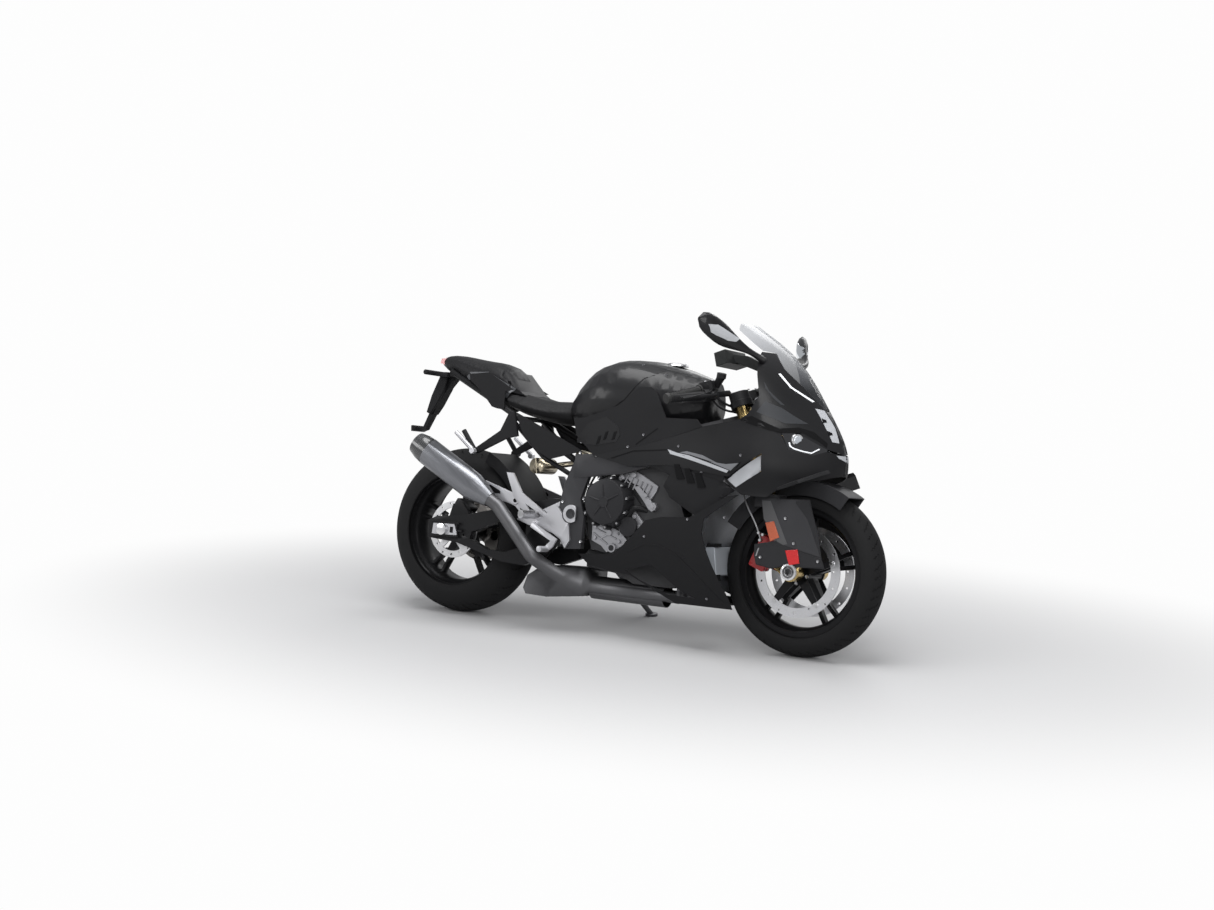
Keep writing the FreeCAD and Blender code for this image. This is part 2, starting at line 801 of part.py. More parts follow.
frame_corner = (-203, 296)
frame_size = (120, 352)
frame_shares = [(0.02, 0.17), (0.3, 0), (0.9, 0.02), (0.92, 0.37), (0.75, 0.54), (1, 0.8), (1, 1),
                (0.5, 0.99), (0.12, 0.66), (0, 0.4)]
beam_shares = [(-0.103, 0.4647, 0.5378, 0.1851, 0.2111), (0.0412, 0.4896, 0.5544, 0.1981, 0.2193),
               (0.1716, 0.5411, 0.6158, 0.1863, 0.2099), (0.2196, 0.5676, 0.649, 0.158, 0.184),
               (0.2745, 0.5992, 0.6755, 0.092, 0.1203), (0.3089, 0.6174, 0.6938, 0.033, 0.066),
               (0.3267, 0.6274, 0.6988, 0.0071, 0.0401)]
beam_stations = scaled(beam_shares, wheelbase, body_height, body_height, body_width, body_width)


def main_frame():
    """The frame: side plates at the pivot, beams rising round the engine to the steering head."""
    pieces = []
    for side in (-1, 1):
        inner = side * frame_inner
        outer = side * (frame_inner + frame_thickness)
        pieces.append(plate(outline(frame_corner, frame_size, frame_shares), inner, outer))
        cap = cross_rod(pivot_x, pivot_z, outer, outer + side * pivot_cap_height, pivot_cap_radius)
        pieces.append(cap)
        loops = []
        for x, low, high, near, far in beam_stations:
            corners = [at(x, side * near, low), at(x, side * far, low), at(x, side * far, high),
                       at(x, side * near, high)]
            loops.append(Part.makePolygon(corners + corners[:1]))
        pieces.append(Part.makeLoft(loops, True, True))
    low = lower_yoke_height + lower_yoke_thickness / 2 + yoke_gap
    high = upper_yoke_height - upper_yoke_thickness / 2 - yoke_gap
    head = rod(on_steering(low), on_steering(high), head_tube_radius)
    bolt = cross_rod(pivot_x, pivot_z, -frame_inner - cut_over, frame_inner + cut_over, pivot_bolt_radius)
    body = head.fuse(pieces + [bolt])
    lug = rod(at(stand_pivot_x, frame_inner - seat_gap, frame_corner[1] + pivot_radius),
              at(stand_pivot_x, frame_inner + frame_thickness, frame_corner[1] + pivot_radius), pivot_radius)
    body = body.fuse(lug)
    bore = rod(on_steering(low - cut_over), on_steering(high + cut_over), stem_radius + running_clearance)
    return body.cut(bore)


rail_radius = 12
brace_radius = 9
rail_y = 112
tail_y = 62
rail_shares = [(-0.0892, 0.5062), (-0.3294, 0.649), (-0.5628, 0.7759)]
rail_places = side_view(rail_shares)
brace_shares = [(-0.103, 0.4647), (-0.2265, 0.5212), (-0.3432, 0.6432)]
brace_places = side_view(brace_shares)


def rails(radius):
    """The subframe's two upper rails, from the frame to the tail."""
    parts = []
    for side in (-1, 1):
        rail = [at(rail_places[0][0], side * frame_inner, rail_places[0][1]),
                at(rail_places[1][0], side * rail_y, rail_places[1][1]),
                at(rail_places[2][0], side * tail_y, rail_places[2][1])]
        parts.append(bent_tube(rail, radius, 4 * rail_radius))
    return parts


def subframe():
    """The rear subframe: a rail and a brace on each side, tied by cross tubes."""
    parts = rails(rail_radius)
    for side in (-1, 1):
        brace = [at(brace_places[0][0], side * frame_inner, brace_places[0][1]),
                 at(brace_places[1][0], side * rail_y, brace_places[1][1]),
                 at(brace_places[2][0], side * rail_y, brace_places[2][1])]
        parts.append(bent_tube(brace, brace_radius, 4 * rail_radius))
    for (x, z), y in ((rail_places[1], rail_y), (rail_places[2], tail_y)):
        parts.append(cross_rod(x, z - rail_radius, -y, y, brace_radius))
    return parts[0].fuse(parts[1:]).cut(main_frame())


crank_corner = (-86, 292)
crank_size = (400, 240)
crank_shares = [(0, 0.3), (0.05, 0.06), (0.3, 0), (0.75, 0.04), (0.95, 0.3), (1, 0.62), (0.92, 0.95),
                (0.3, 1), (0.02, 0.98), (-0.02, 0.6)]
cylinder_shares = [(0.3, 0.9), (0.92, 0.8), (1.1, 1.36), (1.09, 1.46), (0.62, 1.62), (0.5, 1.55)]


def engine_block():
    """The engine: crankcase, sloped cylinders and head, with the sprocket shaft out to the left."""
    case = plate(outline(crank_corner, crank_size, crank_shares), -engine_half_width, engine_half_width)
    top = plate(outline(crank_corner, crank_size, cylinder_shares), -head_half_width, head_half_width)
    reach = sprocket_radius(front_teeth) + chain_plate_height
    floor = chain_y - chain_half_width - moving_gap
    rise = 2 * chain_plate_height
    recess = [
        cross_rod(gearbox_x, gearbox_z, floor, engine_half_width + cut_over, reach),
        plate([(gearbox_x, gearbox_z + reach), (gearbox_x - 2 * reach, gearbox_z + reach),
               (gearbox_x - 2 * reach, gearbox_z - reach - rise), (gearbox_x, gearbox_z - reach)],
              floor, engine_half_width + cut_over),
    ]
    shaft = cross_rod(gearbox_x, gearbox_z, floor - cut_over, chain_y + sprocket_thickness, axle_radius)
    driver = sprocket(gearbox_x, gearbox_z, front_teeth, chain_y)
    return case.fuse(top).cut(recess).fuse([shaft, driver])


def engine_covers():
    """Round covers on the crankcase: clutch and water pump on the right, generator on the left."""
    clutch = cone(at(clutch_x, -engine_half_width, clutch_z), at(clutch_x, -clutch_y, clutch_z),
                  clutch_radius, clutch_radius - 2 * cover_bevel)
    pump = cross_rod(pump_x, pump_z, -engine_half_width, -pump_y, pump_radius)
    generator = cone(at(generator_x, engine_half_width, generator_z), at(generator_x, generator_y, generator_z),
                     generator_radius, generator_radius - 2 * cover_bevel)
    right = clutch.fuse(pump)
    return Part.makeCompound([right, generator])


radiator_shares = [(0.2636, 0.2672), (0.3102, 0.4697)]
radiator_places = side_view(radiator_shares)
cooler_shares = [(0.2553, 0.1577), (0.2608, 0.2639)]
cooler_places = side_view(cooler_shares)
radiator_stay_shares = [(0.199, 0.4315), (0.199, 0.4614), (0.2917, 0.4614), (0.2917, 0.4315)]
radiator_stay_outline = side_view(radiator_stay_shares)
cooler_stay_shares = [(0.2416, 0.249), (0.2416, 0.2863), (0.2553, 0.2863), (0.2553, 0.249)]
cooler_stay_outline = side_view(cooler_stay_shares)
stay_inner = 84
stay_thickness = 6


def slab(places, half_width, thickness):
    """A flat core leaning between a low and a high point."""
    low = at(places[0][0], 0, places[0][1])
    high = at(places[1][0], 0, places[1][1])
    rise = high - low
    back = at(-rise.z, 0, rise.x).normalize() * thickness
    corners = [low, high, high + back, low + back]
    loop = [at(p.x, -half_width, p.z) for p in corners]
    return Part.Face(Part.makePolygon(loop + loop[:1])).extrude(at(0, 2 * half_width, 0))


def radiator():
    """The radiator over the oil cooler, tied together and held on the cylinders by brackets."""
    core = slab(radiator_places, radiator_half_width, radiator_thickness)
    cooler = slab(cooler_places, cooler_half_width, cooler_thickness)
    stays = []
    for side in (-1, 1):
        for points in (radiator_stay_outline, cooler_stay_outline):
            stays.append(plate(points, side * stay_inner, side * (stay_inner + stay_thickness)))
    return core.fuse([cooler] + stays).cut(engine_block())


collector_corner = (-363, 108)
collector_size = (262, 122)
collector_shares = [(0, 0.2), (0.05, 0.02), (0.4, 0), (0.95, 0.14), (1, 0.3), (1, 0.9), (0.9, 1),
                    (0.3, 0.95), (0.06, 0.6)]
tail_pipe_shares = [(-0.1407, -0.125, 0.151), (-0.1963, -0.2476, 0.2141)]
tail_pipe_places = scaled(tail_pipe_shares, wheelbase, body_width, body_height)
header_shares = [(0.2237, 0.5012), (0.2594, 0.4747), (0.2189, 0.249)]
header_places = side_view(header_shares)
header_turn_x = 296
header_squeeze_share = 0.55
link_height_share = 0.42
link_front_share = 0.74
cylinders = 4
collector_right = -128
collector_left = 46


def exhaust_system():
    """Four headers down the front of the engine, the link pipe, the collector box and the tail pipe."""
    x_end = collector_corner[0] + collector_size[0]
    points = outline(collector_corner, collector_size, collector_shares)
    parts = [plate(points, collector_right, collector_left)]
    bores = [plate(shrunk(points, hollow_share),
                   collector_right + 2 * pipe_wall, collector_left - 2 * pipe_wall)]
    centre_y = (collector_right + collector_left) / 2
    z_link = collector_corner[1] + collector_size[1] * link_height_share
    link_start = at(x_end - cut_over, centre_y, z_link)
    link_end = at(crank_corner[0] + crank_size[0] * link_front_share, centre_y, z_link)
    parts.append(rod(link_start, link_end, link_radius))
    bores.append(rod(link_start - at(link_radius, 0, 0), link_end, link_radius - pipe_wall))
    for index in range(cylinders):
        y = (index - (cylinders - 1) / 2) * header_gap
        port, knee, low = [at(x, y, z) for x, z in header_places]
        turn = at(header_turn_x, centre_y + (y - centre_y) * header_squeeze_share, z_link)
        end = at(link_end.x - header_bend, centre_y + (y - centre_y) / 10, z_link)
        path = [port, knee, low, turn, end]
        parts.append(bent_tube(path, header_radius, header_bend / 3))
    start, rise = [at(*place) for place in tail_pipe_places]
    front = at(silencer_front_x, silencer_front_y, silencer_front_z)
    end = at(silencer_end_x, silencer_end_y, silencer_end_z)
    into = (end - front).normalize()
    path = [start, rise, front - into * clamp_length, front - into * seat_gap]
    parts.append(bent_tube(path, tail_pipe_radius, clamp_length))
    bores.append(bent_tube(path, tail_pipe_radius - pipe_wall, clamp_length))
    return parts[0].fuse(parts[1:]).cut(bores + [engine_block()])


def silencer_section(point, along, radius):
    """A slightly flattened round section square to the silencer's line."""
    across = at(0, 1, 0) - along * along.y
    across.normalize()
    upward = along.cross(across)
    loop = []
    for index in range(silencer_facets):
        turn = 2 * math.pi * index / silencer_facets
        loop.append(point + upward * (radius * math.cos(turn))
                    + across * (radius * silencer_flat_share * math.sin(turn)))
    return Part.makePolygon(loop + loop[:1])


silencer_front = at(silencer_front_x, silencer_front_y, silencer_front_z)
silencer_end = at(silencer_end_x, silencer_end_y, silencer_end_z)
silencer_line = (silencer_end - silencer_front).normalize()


def silencer():
    """The can: a cone from the clamp, then a long slightly oval body."""
    sections = [
        silencer_section(silencer_front, silencer_line, tail_pipe_radius + cover_thickness),
        silencer_section(silencer_front + silencer_line * clamp_length, silencer_line,
                         silencer_radius * silencer_cone_share),
        silencer_section(silencer_front + silencer_line * 2 * clamp_length, silencer_line, silencer_radius),
    ]
    nose = Part.makeLoft(sections, True, True)
    body = Part.makeLoft([
        sections[-1],
        silencer_section(silencer_end, silencer_line, silencer_radius),
    ], True, True)
    core = Part.makeLoft([
        silencer_section(silencer_front + silencer_line * 2 * clamp_length, silencer_line,
                         silencer_radius - pipe_wall),
        silencer_section(silencer_end - silencer_line * pipe_wall, silencer_line, silencer_radius - pipe_wall),
    ], True, True)
    mouth = rod(silencer_front - silencer_line * cut_over, silencer_front + silencer_line * 3 * clamp_length,
                tail_pipe_radius - pipe_wall)
    return nose.fuse(body).cut([core, mouth])


def silencer_cap():
    """The dark end cap, cut back at a slant, with a round outlet."""
    last = silencer_end + silencer_line * silencer_cap_length
    cap = Part.makeLoft([
        silencer_section(silencer_end, silencer_line, silencer_radius),
        silencer_section(silencer_end + silencer_line * (silencer_cap_length / 2), silencer_line,
                         silencer_radius * cap_middle_share),
        silencer_section(last, silencer_line, silencer_radius * cap_end_share),
    ], True, True)
    outlet = rod(silencer_end + silencer_line * cut_over, last + silencer_line * cut_over, outlet_radius)
    return cap.cut(outlet)


tank_shares = [
    (-0.159, [(0, 0.639), (0.0825, 0.6407), (0.1156, 0.6639), (0.1085, 0.7012), (0.0708, 0.7187),
              (0, 0.7237)]),
    (-0.1235, [(0, 0.6183), (0.1038, 0.6224), (0.1486, 0.6639), (0.1509, 0.722), (0.0991, 0.7718),
               (0, 0.7842)]),
    (-0.0618, [(0, 0.5992), (0.1321, 0.6058), (0.1745, 0.6556), (0.1981, 0.7303), (0.1321, 0.8116),
               (0, 0.8299)]),
    (0.0137, [(0, 0.5934), (0.1392, 0.5992), (0.1863, 0.6556), (0.2017, 0.7344), (0.1439, 0.8199),
              (0, 0.844)]),
    (0.0961, [(0, 0.6058), (0.1415, 0.6124), (0.1863, 0.6639), (0.1958, 0.7303), (0.1368, 0.8066),
              (0, 0.8357)]),
    (0.1647, [(0, 0.639), (0.1274, 0.644), (0.1604, 0.6805), (0.1627, 0.7303), (0.112, 0.7925),
              (0, 0.8158)]),
    (0.2183, [(0, 0.6639), (0.0708, 0.6672), (0.1014, 0.6971), (0.0991, 0.7386), (0.0708, 0.7784),
              (0, 0.795)]),
]
tank_sections = [(wheelbase * place, scaled(row, body_width, body_height))
                 for place, row in tank_shares]
tank_rows = 15
tank_facets = 20


def fuel_tank():
    """The tank: a lofted body, narrow at the rider's knees and at the steering head."""
    sections = []
    for x, half in tank_sections:
        right = [at(x, -y, z) for y, z in half[1:-1]]
        left = [at(x, y, z) for y, z in reversed(half[1:-1])]
        sections.append([at(x, 0, half[0][1])] + right + [at(x, 0, half[-1][1])] + left)
    return faired_body(sections, tank_rows, tank_facets)


seat_shares = [(-0.3539, 0.6739, 0.7154, 0.1392), (-0.302, 0.6556, 0.7054, 0.1557),
               (-0.2334, 0.6407, 0.6921, 0.1462), (-0.1798, 0.6349, 0.6954, 0.1179),
               (-0.1592, 0.6373, 0.6954, 0.0991)]
seat_stations = scaled(seat_shares, wheelbase, body_height, body_height, body_width)


pad_rows = 13
pad_facets = 16
pad_low_share = 0.7
pad_high_share = 0.86
seat_edge_share = 0.16
cowl_edge_share = 0.2


def padded_loft(stations, edge_share):
    """A body from soft-cornered sections given by place, lowest, highest and half width."""
    sections = []
    for x, low, high, half in stations:
        drop = (high - low) * edge_share
        middle = (low + high) / 2
        right = [at(x, -half * pad_low_share, low), at(x, -half, middle),
                 at(x, -half * pad_high_share, high - drop)]
        left = [at(x, -point.y, point.z) for point in reversed(right)]
        sections.append([at(x, 0, low)] + right + [at(x, 0, high)] + left)
    return faired_body(sections, pad_rows, pad_facets)


def rider_seat():
    return padded_loft(seat_stations, seat_edge_share).cut(rails(rail_radius + seat_gap))


tail_shares = [(-0.615, 0.7983, 0.8216, 0.0259), (-0.5834, 0.7784, 0.8307, 0.059),
               (-0.5216, 0.7469, 0.8274, 0.0943), (-0.453, 0.7037, 0.8174, 0.1108),
               (-0.3844, 0.6739, 0.8017, 0.1226), (-0.3542, 0.6689, 0.7635, 0.125)]
tail_stations = scaled(tail_shares, wheelbase, body_height, body_height, body_width)
hump_shares = [(-0.3638, 0.7203), (-0.3089, 0.712), (-0.324, 0.7237), (-0.3741, 0.7851), (-0.3857, 0.7801)]
hump_outline = side_view(hump_shares)
hump_half_width = 92


def tail_tie(radius):
    """The cross tube that ties the rails' rear ends."""
    x, z = rail_places[2]
    return cross_rod(x, z - rail_radius, -tail_y, tail_y, radius)


def tail_cowl():
    """The tail cowl with the pillion pad's hump, which slopes down over the back of the seat."""
    body = padded_loft(tail_stations, cowl_edge_share)
    body = body.fuse(plate(hump_outline, -hump_half_width, hump_half_width))
    return body.cut(rails(rail_radius + seat_gap) + [tail_tie(brace_radius + seat_gap)])


lamp_end_shares = [(-0.6191, 0.8033), (-0.6163, 0.8183), (-0.5971, 0.8216), (-0.5971, 0.7967)]
lamp_end_outline = side_view(lamp_end_shares)
lamp_end_half_width = 30


def tail_lamp():
    """The lamp in the tail's tip."""
    lamp = plate(lamp_end_outline, -lamp_end_half_width, lamp_end_half_width).cut(tail_cowl())
    return min(lamp.Solids, key=lambda solid: solid.CenterOfMass.x)


hull_level_shares = [
    (0.4481, [(-0.0618, 0.2217), (0.0686, 0.2323), (0.1922, 0.2453), (0.2951, 0.2618), (0.3706, 0.2665),
              (0.4255, 0.2453), (0.4736, 0.2005), (0.5148, 0.1439), (0.5456, 0.0825), (0.5594, 0.0142)]),
    (0.5145, [(-0.0618, 0.2205), (0.0686, 0.2335), (0.1922, 0.2476), (0.2951, 0.2689), (0.3706, 0.2759),
              (0.429, 0.2547), (0.4804, 0.2075), (0.5271, 0.1486), (0.5642, 0.0778), (0.58, 0.0142)]),
    (0.5809, [(-0.0618, 0.2193), (0.0686, 0.2323), (0.1922, 0.2429), (0.2951, 0.2665), (0.3706, 0.2736),
              (0.4324, 0.25), (0.4839, 0.1981), (0.5299, 0.1368), (0.5683, 0.0684), (0.5848, 0.0142)]),
    (0.6266, [(-0.0618, 0.2146), (0.0686, 0.2264), (0.1922, 0.2335), (0.2951, 0.2524), (0.3706, 0.2571),
              (0.429, 0.2311), (0.4736, 0.1863), (0.5161, 0.1321), (0.5546, 0.0684), (0.5738, 0.0142)]),
    (0.6805, [(-0.0618, 0.2028), (0.0686, 0.2146), (0.1922, 0.2241), (0.2883, 0.2358), (0.3638, 0.2429),
              (0.4152, 0.2241), (0.4564, 0.184), (0.4942, 0.1321), (0.5299, 0.0684), (0.5491, 0.0142)]),
    (0.7469, [(-0.0618, 0.1887), (0.0686, 0.2005), (0.1922, 0.2146), (0.2745, 0.2288), (0.3466, 0.2382),
              (0.3946, 0.2264), (0.4324, 0.1887), (0.4653, 0.1368), (0.4955, 0.0731), (0.5134, 0.0142)]),
    (0.8133, [(-0.0618, 0.1828), (0.0686, 0.1946), (0.1784, 0.2099), (0.2608, 0.2241), (0.3294, 0.2358),
              (0.3706, 0.2288), (0.4049, 0.1958), (0.4324, 0.1415), (0.4585, 0.0755), (0.4736, 0.0142)]),
    (0.8797, [(-0.0618, 0.1769), (0.0686, 0.1887), (0.1647, 0.2005), (0.2402, 0.2146), (0.302, 0.2241),
              (0.3363, 0.217), (0.3638, 0.1887), (0.3857, 0.1392), (0.4077, 0.0755), (0.42, 0.0142)]),
    (0.9668, [(-0.0618, 0.1651), (0.0412, 0.1722), (0.1235, 0.1792), (0.1922, 0.184), (0.2402, 0.1816),
              (0.2636, 0.1722), (0.2814, 0.1509), (0.2951, 0.1132), (0.3047, 0.0613), (0.3102, 0.0142)]),
]
hull_levels = [(body_height * place, scaled(row, wheelbase, body_width))
               for place, row in hull_level_shares]


def hull(levels, wall, side):
    """One side of the bodywork's surface, a shell lofted up through level curves."""
    loops = []
    for z, half in levels:
        points = [at(x, side * y, z) for x, y in half]
        loops.append(strip(points, at(0, 0, side), wall))
    return Part.makeLoft(loops, True, False)


def hull_pair(levels, wall):
    """Both sides of the bodywork's surface, joined at the nose."""
    right = hull(levels, wall, -1)
    left = hull(levels, wall, 1)
    bridges = []
    for z, half in levels:
        x, y = half[-1]
        bridges.append(Part.makePolygon([at(x, -y, z), at(x, y, z), at(x - wall, y, z), at(x - wall, -y, z),
                                         at(x, -y, z)]))
    nose = Part.makeLoft(bridges, True, False)
    return right.fuse([left, nose])


across = 500
screen_edge_shares = [(0.5209, 0.727), (0.4784, 0.7809), (0.4317, 0.8332), (0.4015, 0.8797)]
screen_edge = side_view(screen_edge_shares)
lamp_brow_shares = [(0.4578, 0.649), (0.4832, 0.6539), (0.5532, 0.6091)]
lamp_brow = side_view(lamp_brow_shares)
lamp_sill_shares = [(0.5532, 0.6025), (0.5305, 0.5884), (0.4798, 0.5992)]
lamp_sill = side_view(lamp_sill_shares)
nose_rear_shares = [(0.3795, 0.8797), (0.3885, 0.8116), (0.4001, 0.7494), (0.3795, 0.6946),
                    (0.3617, 0.6788)]
nose_tip_shares = [(0.5957, 0.5942), (0.5916, 0.634)]
nose_outline = side_view(nose_rear_shares) + lamp_brow + side_view(nose_tip_shares) + screen_edge
lamp_outline = [(x, z - seat_gap) for x, z in lamp_brow] + [(x, z + seat_gap) for x, z in lamp_sill]
screen_outline = [(x + seat_gap, z + seat_gap) for x, z in screen_edge]
screen_shares = [(0.3795, 0.883), (0.3102, 0.9419), (0.302, 0.9627), (0.3569, 0.9793), (0.6177, 0.8299),
                 (0.6177, 0.6639)]
screen_outline += side_view(screen_shares)
flank_top_shares = [(-0.0467, 0.5386), (0.0796, 0.5751), (0.1716, 0.6091), (0.2601, 0.6481),
                    (0.3603, 0.6763), (0.4564, 0.6465)]
flank_low_shares = [(0.5971, 0.5909), (0.5916, 0.5394), (0.5491, 0.5195), (0.4804, 0.4996),
                    (0.442, 0.4581), (0.4049, 0.4581), (0.3844, 0.4598), (0.3432, 0.4929),
                    (0.3493, 0.5079), (0.1764, 0.5278), (0.0611, 0.5145)]
flank_outline = side_view(flank_top_shares) + lamp_sill[::-1] + side_view(flank_low_shares)
outlet_shares = [(0.4269, 0.5826), (0.3445, 0.5029), (0.3706, 0.4788), (0.431, 0.5311)]
outlet_outline = side_view(outlet_shares)


def trim(shape, points):
    return shape.common(plate(points, -across, across))


def hole(shape, points):
    return shape.cut(plate(points, -across, across))


def headlamps():
    sides = [trim(hull(hull_levels, lamp_depth, side), lamp_outline) for side in (-1, 1)]
    return Part.makeCompound(sides)


def side_fairing(skin):
    """The right flank of the fairing, open at its air outlet, with the chin below the headlamp."""
    flank = skin.common(plate(flank_outline, -seam / 2, -across))
    return hole(flank, outlet_outline)


belly_level_shares = [
    (0.1129, [(-0.0892, 0.1226), (0.0412, 0.1415), (0.151, 0.158), (0.2471, 0.1722), (0.3157, 0.1769),
              (0.3844, 0.1745)]),
    (0.1826, [(-0.0892, 0.1557), (0.0412, 0.1769), (0.151, 0.1958), (0.2471, 0.2099), (0.3157, 0.2146),
              (0.3844, 0.2099)]),
    (0.249, [(-0.0892, 0.1792), (0.0412, 0.2028), (0.151, 0.2217), (0.2471, 0.2358), (0.3157, 0.2406),
             (0.3844, 0.2335)]),
    (0.332, [(-0.0892, 0.191), (0.0412, 0.217), (0.151, 0.2382), (0.2471, 0.2524), (0.3157, 0.2571),
             (0.3844, 0.2547)]),
    (0.4149, [(-0.0892, 0.1958), (0.0412, 0.2217), (0.151, 0.2429), (0.2471, 0.2594), (0.3157, 0.2665),
              (0.3844, 0.2665)]),
    (0.4772, [(-0.0892, 0.1958), (0.0412, 0.2217), (0.151, 0.2429), (0.2471, 0.2594), (0.3157, 0.2677),
              (0.3844, 0.2689)]),
]
belly_levels = [(body_height * place, scaled(row, wheelbase, body_width))
                for place, row in belly_level_shares]
belly_shares = [(-0.081, 0.2349), (0.0247, 0.2465), (0.0673, 0.2863), (0.1222, 0.3585), (0.1682, 0.3734),
                (0.2505, 0.3801), (0.3528, 0.4531), (0.3809, 0.4581), (0.291, 0.3801), (0.2855, 0.3402),
                (0.2979, 0.2929), (0.315, 0.2465), (0.3569, 0.1502), (0.3638, 0.122), (0.2045, 0.1203),
                (0.0776, 0.1876), (-0.0494, 0.2025)]
belly_outline = side_view(belly_shares)
belly_vent_shares = [(0.0618, 0.2025), (0.1407, 0.2274), (0.2265, 0.1577), (0.2622, 0.1427),
                     (0.1853, 0.1444), (0.103, 0.1776)]
belly_vent_outline = side_view(belly_vent_shares)
belly_post_shares = (0.1304, 0.3402, 0.2311)
belly_post_place = scaled([belly_post_shares], wheelbase, body_height, body_width)[0]
belly_post_radius = 8
belly_pan_shares = [(0.2951, 0.122), (0.2951, 0.1261), (0.2368, 0.1253), (0.2368, 0.1212)]
belly_pan_outline = side_view(belly_pan_shares)


def belly_fairing():
    """The belly fairing: two vented sides joined by a pan under the front."""
    sides = []
    for side in (-1, 1):
        skin = trim(hull(belly_levels, panel_wall, side), belly_outline)
        skin = hole(skin, belly_vent_outline)
        x, z, y = belly_post_place
        post = cross_rod(x, z, side * (engine_half_width + seat_gap), side * y, belly_post_radius)
        sides.append(skin.fuse(post))
    pan_half = belly_levels[0][1][3][1] + panel_wall
    pan = plate(belly_pan_outline, -pan_half, pan_half)
    return sides[0].fuse([sides[1], pan])


vent_shares = [(0.0906, 0.5278), (0.1647, 0.5394), (0.3391, 0.5195), (0.337, 0.4913), (0.3672, 0.4697),
               (0.2642, 0.3884), (0.1894, 0.434), (0.1668, 0.4647), (0.1812, 0.4979), (0.1524, 0.5112)]
vent_outline = side_view(vent_shares)
cover_outline = [(x, z + seat_gap) for x, z in flank_outline[:4]]
tank_cover_shares = [(0.2416, 0.6689), (0.1537, 0.6672), (0.1359, 0.7054), (0.1181, 0.7436),
                     (0.103, 0.756), (0.0659, 0.7535), (0.0494, 0.7353), (0.0185, 0.6988),
                     (-0.0824, 0.6515), (-0.1153, 0.6498), (-0.103, 0.5975)]
cover_outline += side_view(tank_cover_shares)
cover_level_shares = [
    (0.5145, [(-0.1304, 0.2205), (-0.0618, 0.2205), (0.0686, 0.2335), (0.1922, 0.2476), (0.2951, 0.2689),
              (0.3706, 0.2759)]),
    (0.5809, [(-0.1304, 0.2193), (-0.0618, 0.2193), (0.0686, 0.2323), (0.1922, 0.2429), (0.2951, 0.2665),
              (0.3706, 0.2736)]),
    (0.6266, [(-0.1304, 0.217), (-0.0618, 0.217), (0.0686, 0.2276), (0.1922, 0.2347), (0.2951, 0.2524),
              (0.3706, 0.2571)]),
    (0.6805, [(-0.1304, 0.2123), (-0.0618, 0.2123), (0.0686, 0.2217), (0.1922, 0.2264), (0.2951, 0.2358),
              (0.3706, 0.2429)]),
    (0.7469, [(-0.1304, 0.2028), (-0.0618, 0.2052), (0.0686, 0.2134), (0.1922, 0.2146), (0.2951, 0.2288),
              (0.3706, 0.2358)]),
    (0.8133, [(-0.1304, 0.1934), (-0.0618, 0.1958), (0.0686, 0.2028), (0.1922, 0.2075), (0.2951, 0.2217),
              (0.3706, 0.2288)]),
]
cover_levels = [(body_height * place, scaled(row, wheelbase, body_width))
                for place, row in cover_level_shares]
tail_panel_shares = [(-0.4894, 0.7701), (-0.4852, 0.7502), (-0.4454, 0.7187), (-0.4008, 0.6689),
                     (-0.3823, 0.6639), (-0.3583, 0.6614), (-0.3583, 0.7187), (-0.3308, 0.727),
                     (-0.4207, 0.7784)]
tail_panel_outline = side_view(tail_panel_shares)
rail_panel_shares = [(-0.3102, 0.6539), (-0.2992, 0.6141), (-0.2745, 0.5726), (-0.2265, 0.5353),
                     (-0.1894, 0.5162), (-0.1084, 0.5419), (-0.0885, 0.551), (-0.1647, 0.5876)]
rail_panel_outline = side_view(rail_panel_shares)
infill_inset = panel_wall + seat_gap


def rail_side(x):
    """How far out a rail's line runs at a place along the bike."""
    front, knee, back = [(place[0], y) for place, y in zip(rail_places, (frame_inner, rail_y, tail_y))]
    near, far = (front, knee) if x > knee[0] else (knee, back)
    return near[1] + (far[1] - near[1]) * (x - near[0]) / (far[0] - near[0])


def rail_panel(points, side):
    """A thin panel just outside a rail, cut to its outline in side view."""
    places = [x for x, z in points]
    heights = [z for x, z in points]
    stations = sorted({min(places) - cut_over, rail_places[1][0], max(places) + cut_over})
    low = min(heights) - cut_over
    near = [at(x, side * (rail_side(x) + rail_radius + 2 * seat_gap), low) for x in stations]
    far = [point + at(0, side * panel_wall, 0) for point in reversed(near)]
    sheet = Part.Face(Part.makePolygon(near + far + near[:1])).extrude(at(0, 0, max(heights) - low + cut_over))
    return trim(sheet, points)


def infill_panels():
    """Inner panels: behind each flank's lower edge, beside the tank, on the tail and below the seat."""
    inner_levels = [(z, [(x, y - infill_inset) for x, y in half]) for z, half in hull_levels]
    low_levels = [(z, [(x, y - infill_inset) for x, y in half]) for z, half in belly_levels]
    parts = []
    for side in (-1, 1):
        lower = trim(hull(low_levels[-3:], panel_wall, side), vent_outline)
        upper = trim(hull(inner_levels[:3], panel_wall, side), vent_outline)
        parts.append(upper.fuse(lower))
        parts.append(trim(hull(cover_levels, panel_wall, side), cover_outline))
        for points in (tail_panel_outline, rail_panel_outline):
            parts.append(rail_panel(points, side))
    return Part.makeCompound(parts)


winglet_root_shares = [(0.5045, 0.5228), (0.571, 0.551), (0.5779, 0.5427), (0.5106, 0.5112)]
winglet_root = side_view(winglet_root_shares)
winglet_tip_shares = [(0.4914, 0.488), (0.5422, 0.5129), (0.5477, 0.5062), (0.4955, 0.4813)]
winglet_tip = side_view(winglet_tip_shares)
winglet_inner_y = 112
winglet_outer_y = 272


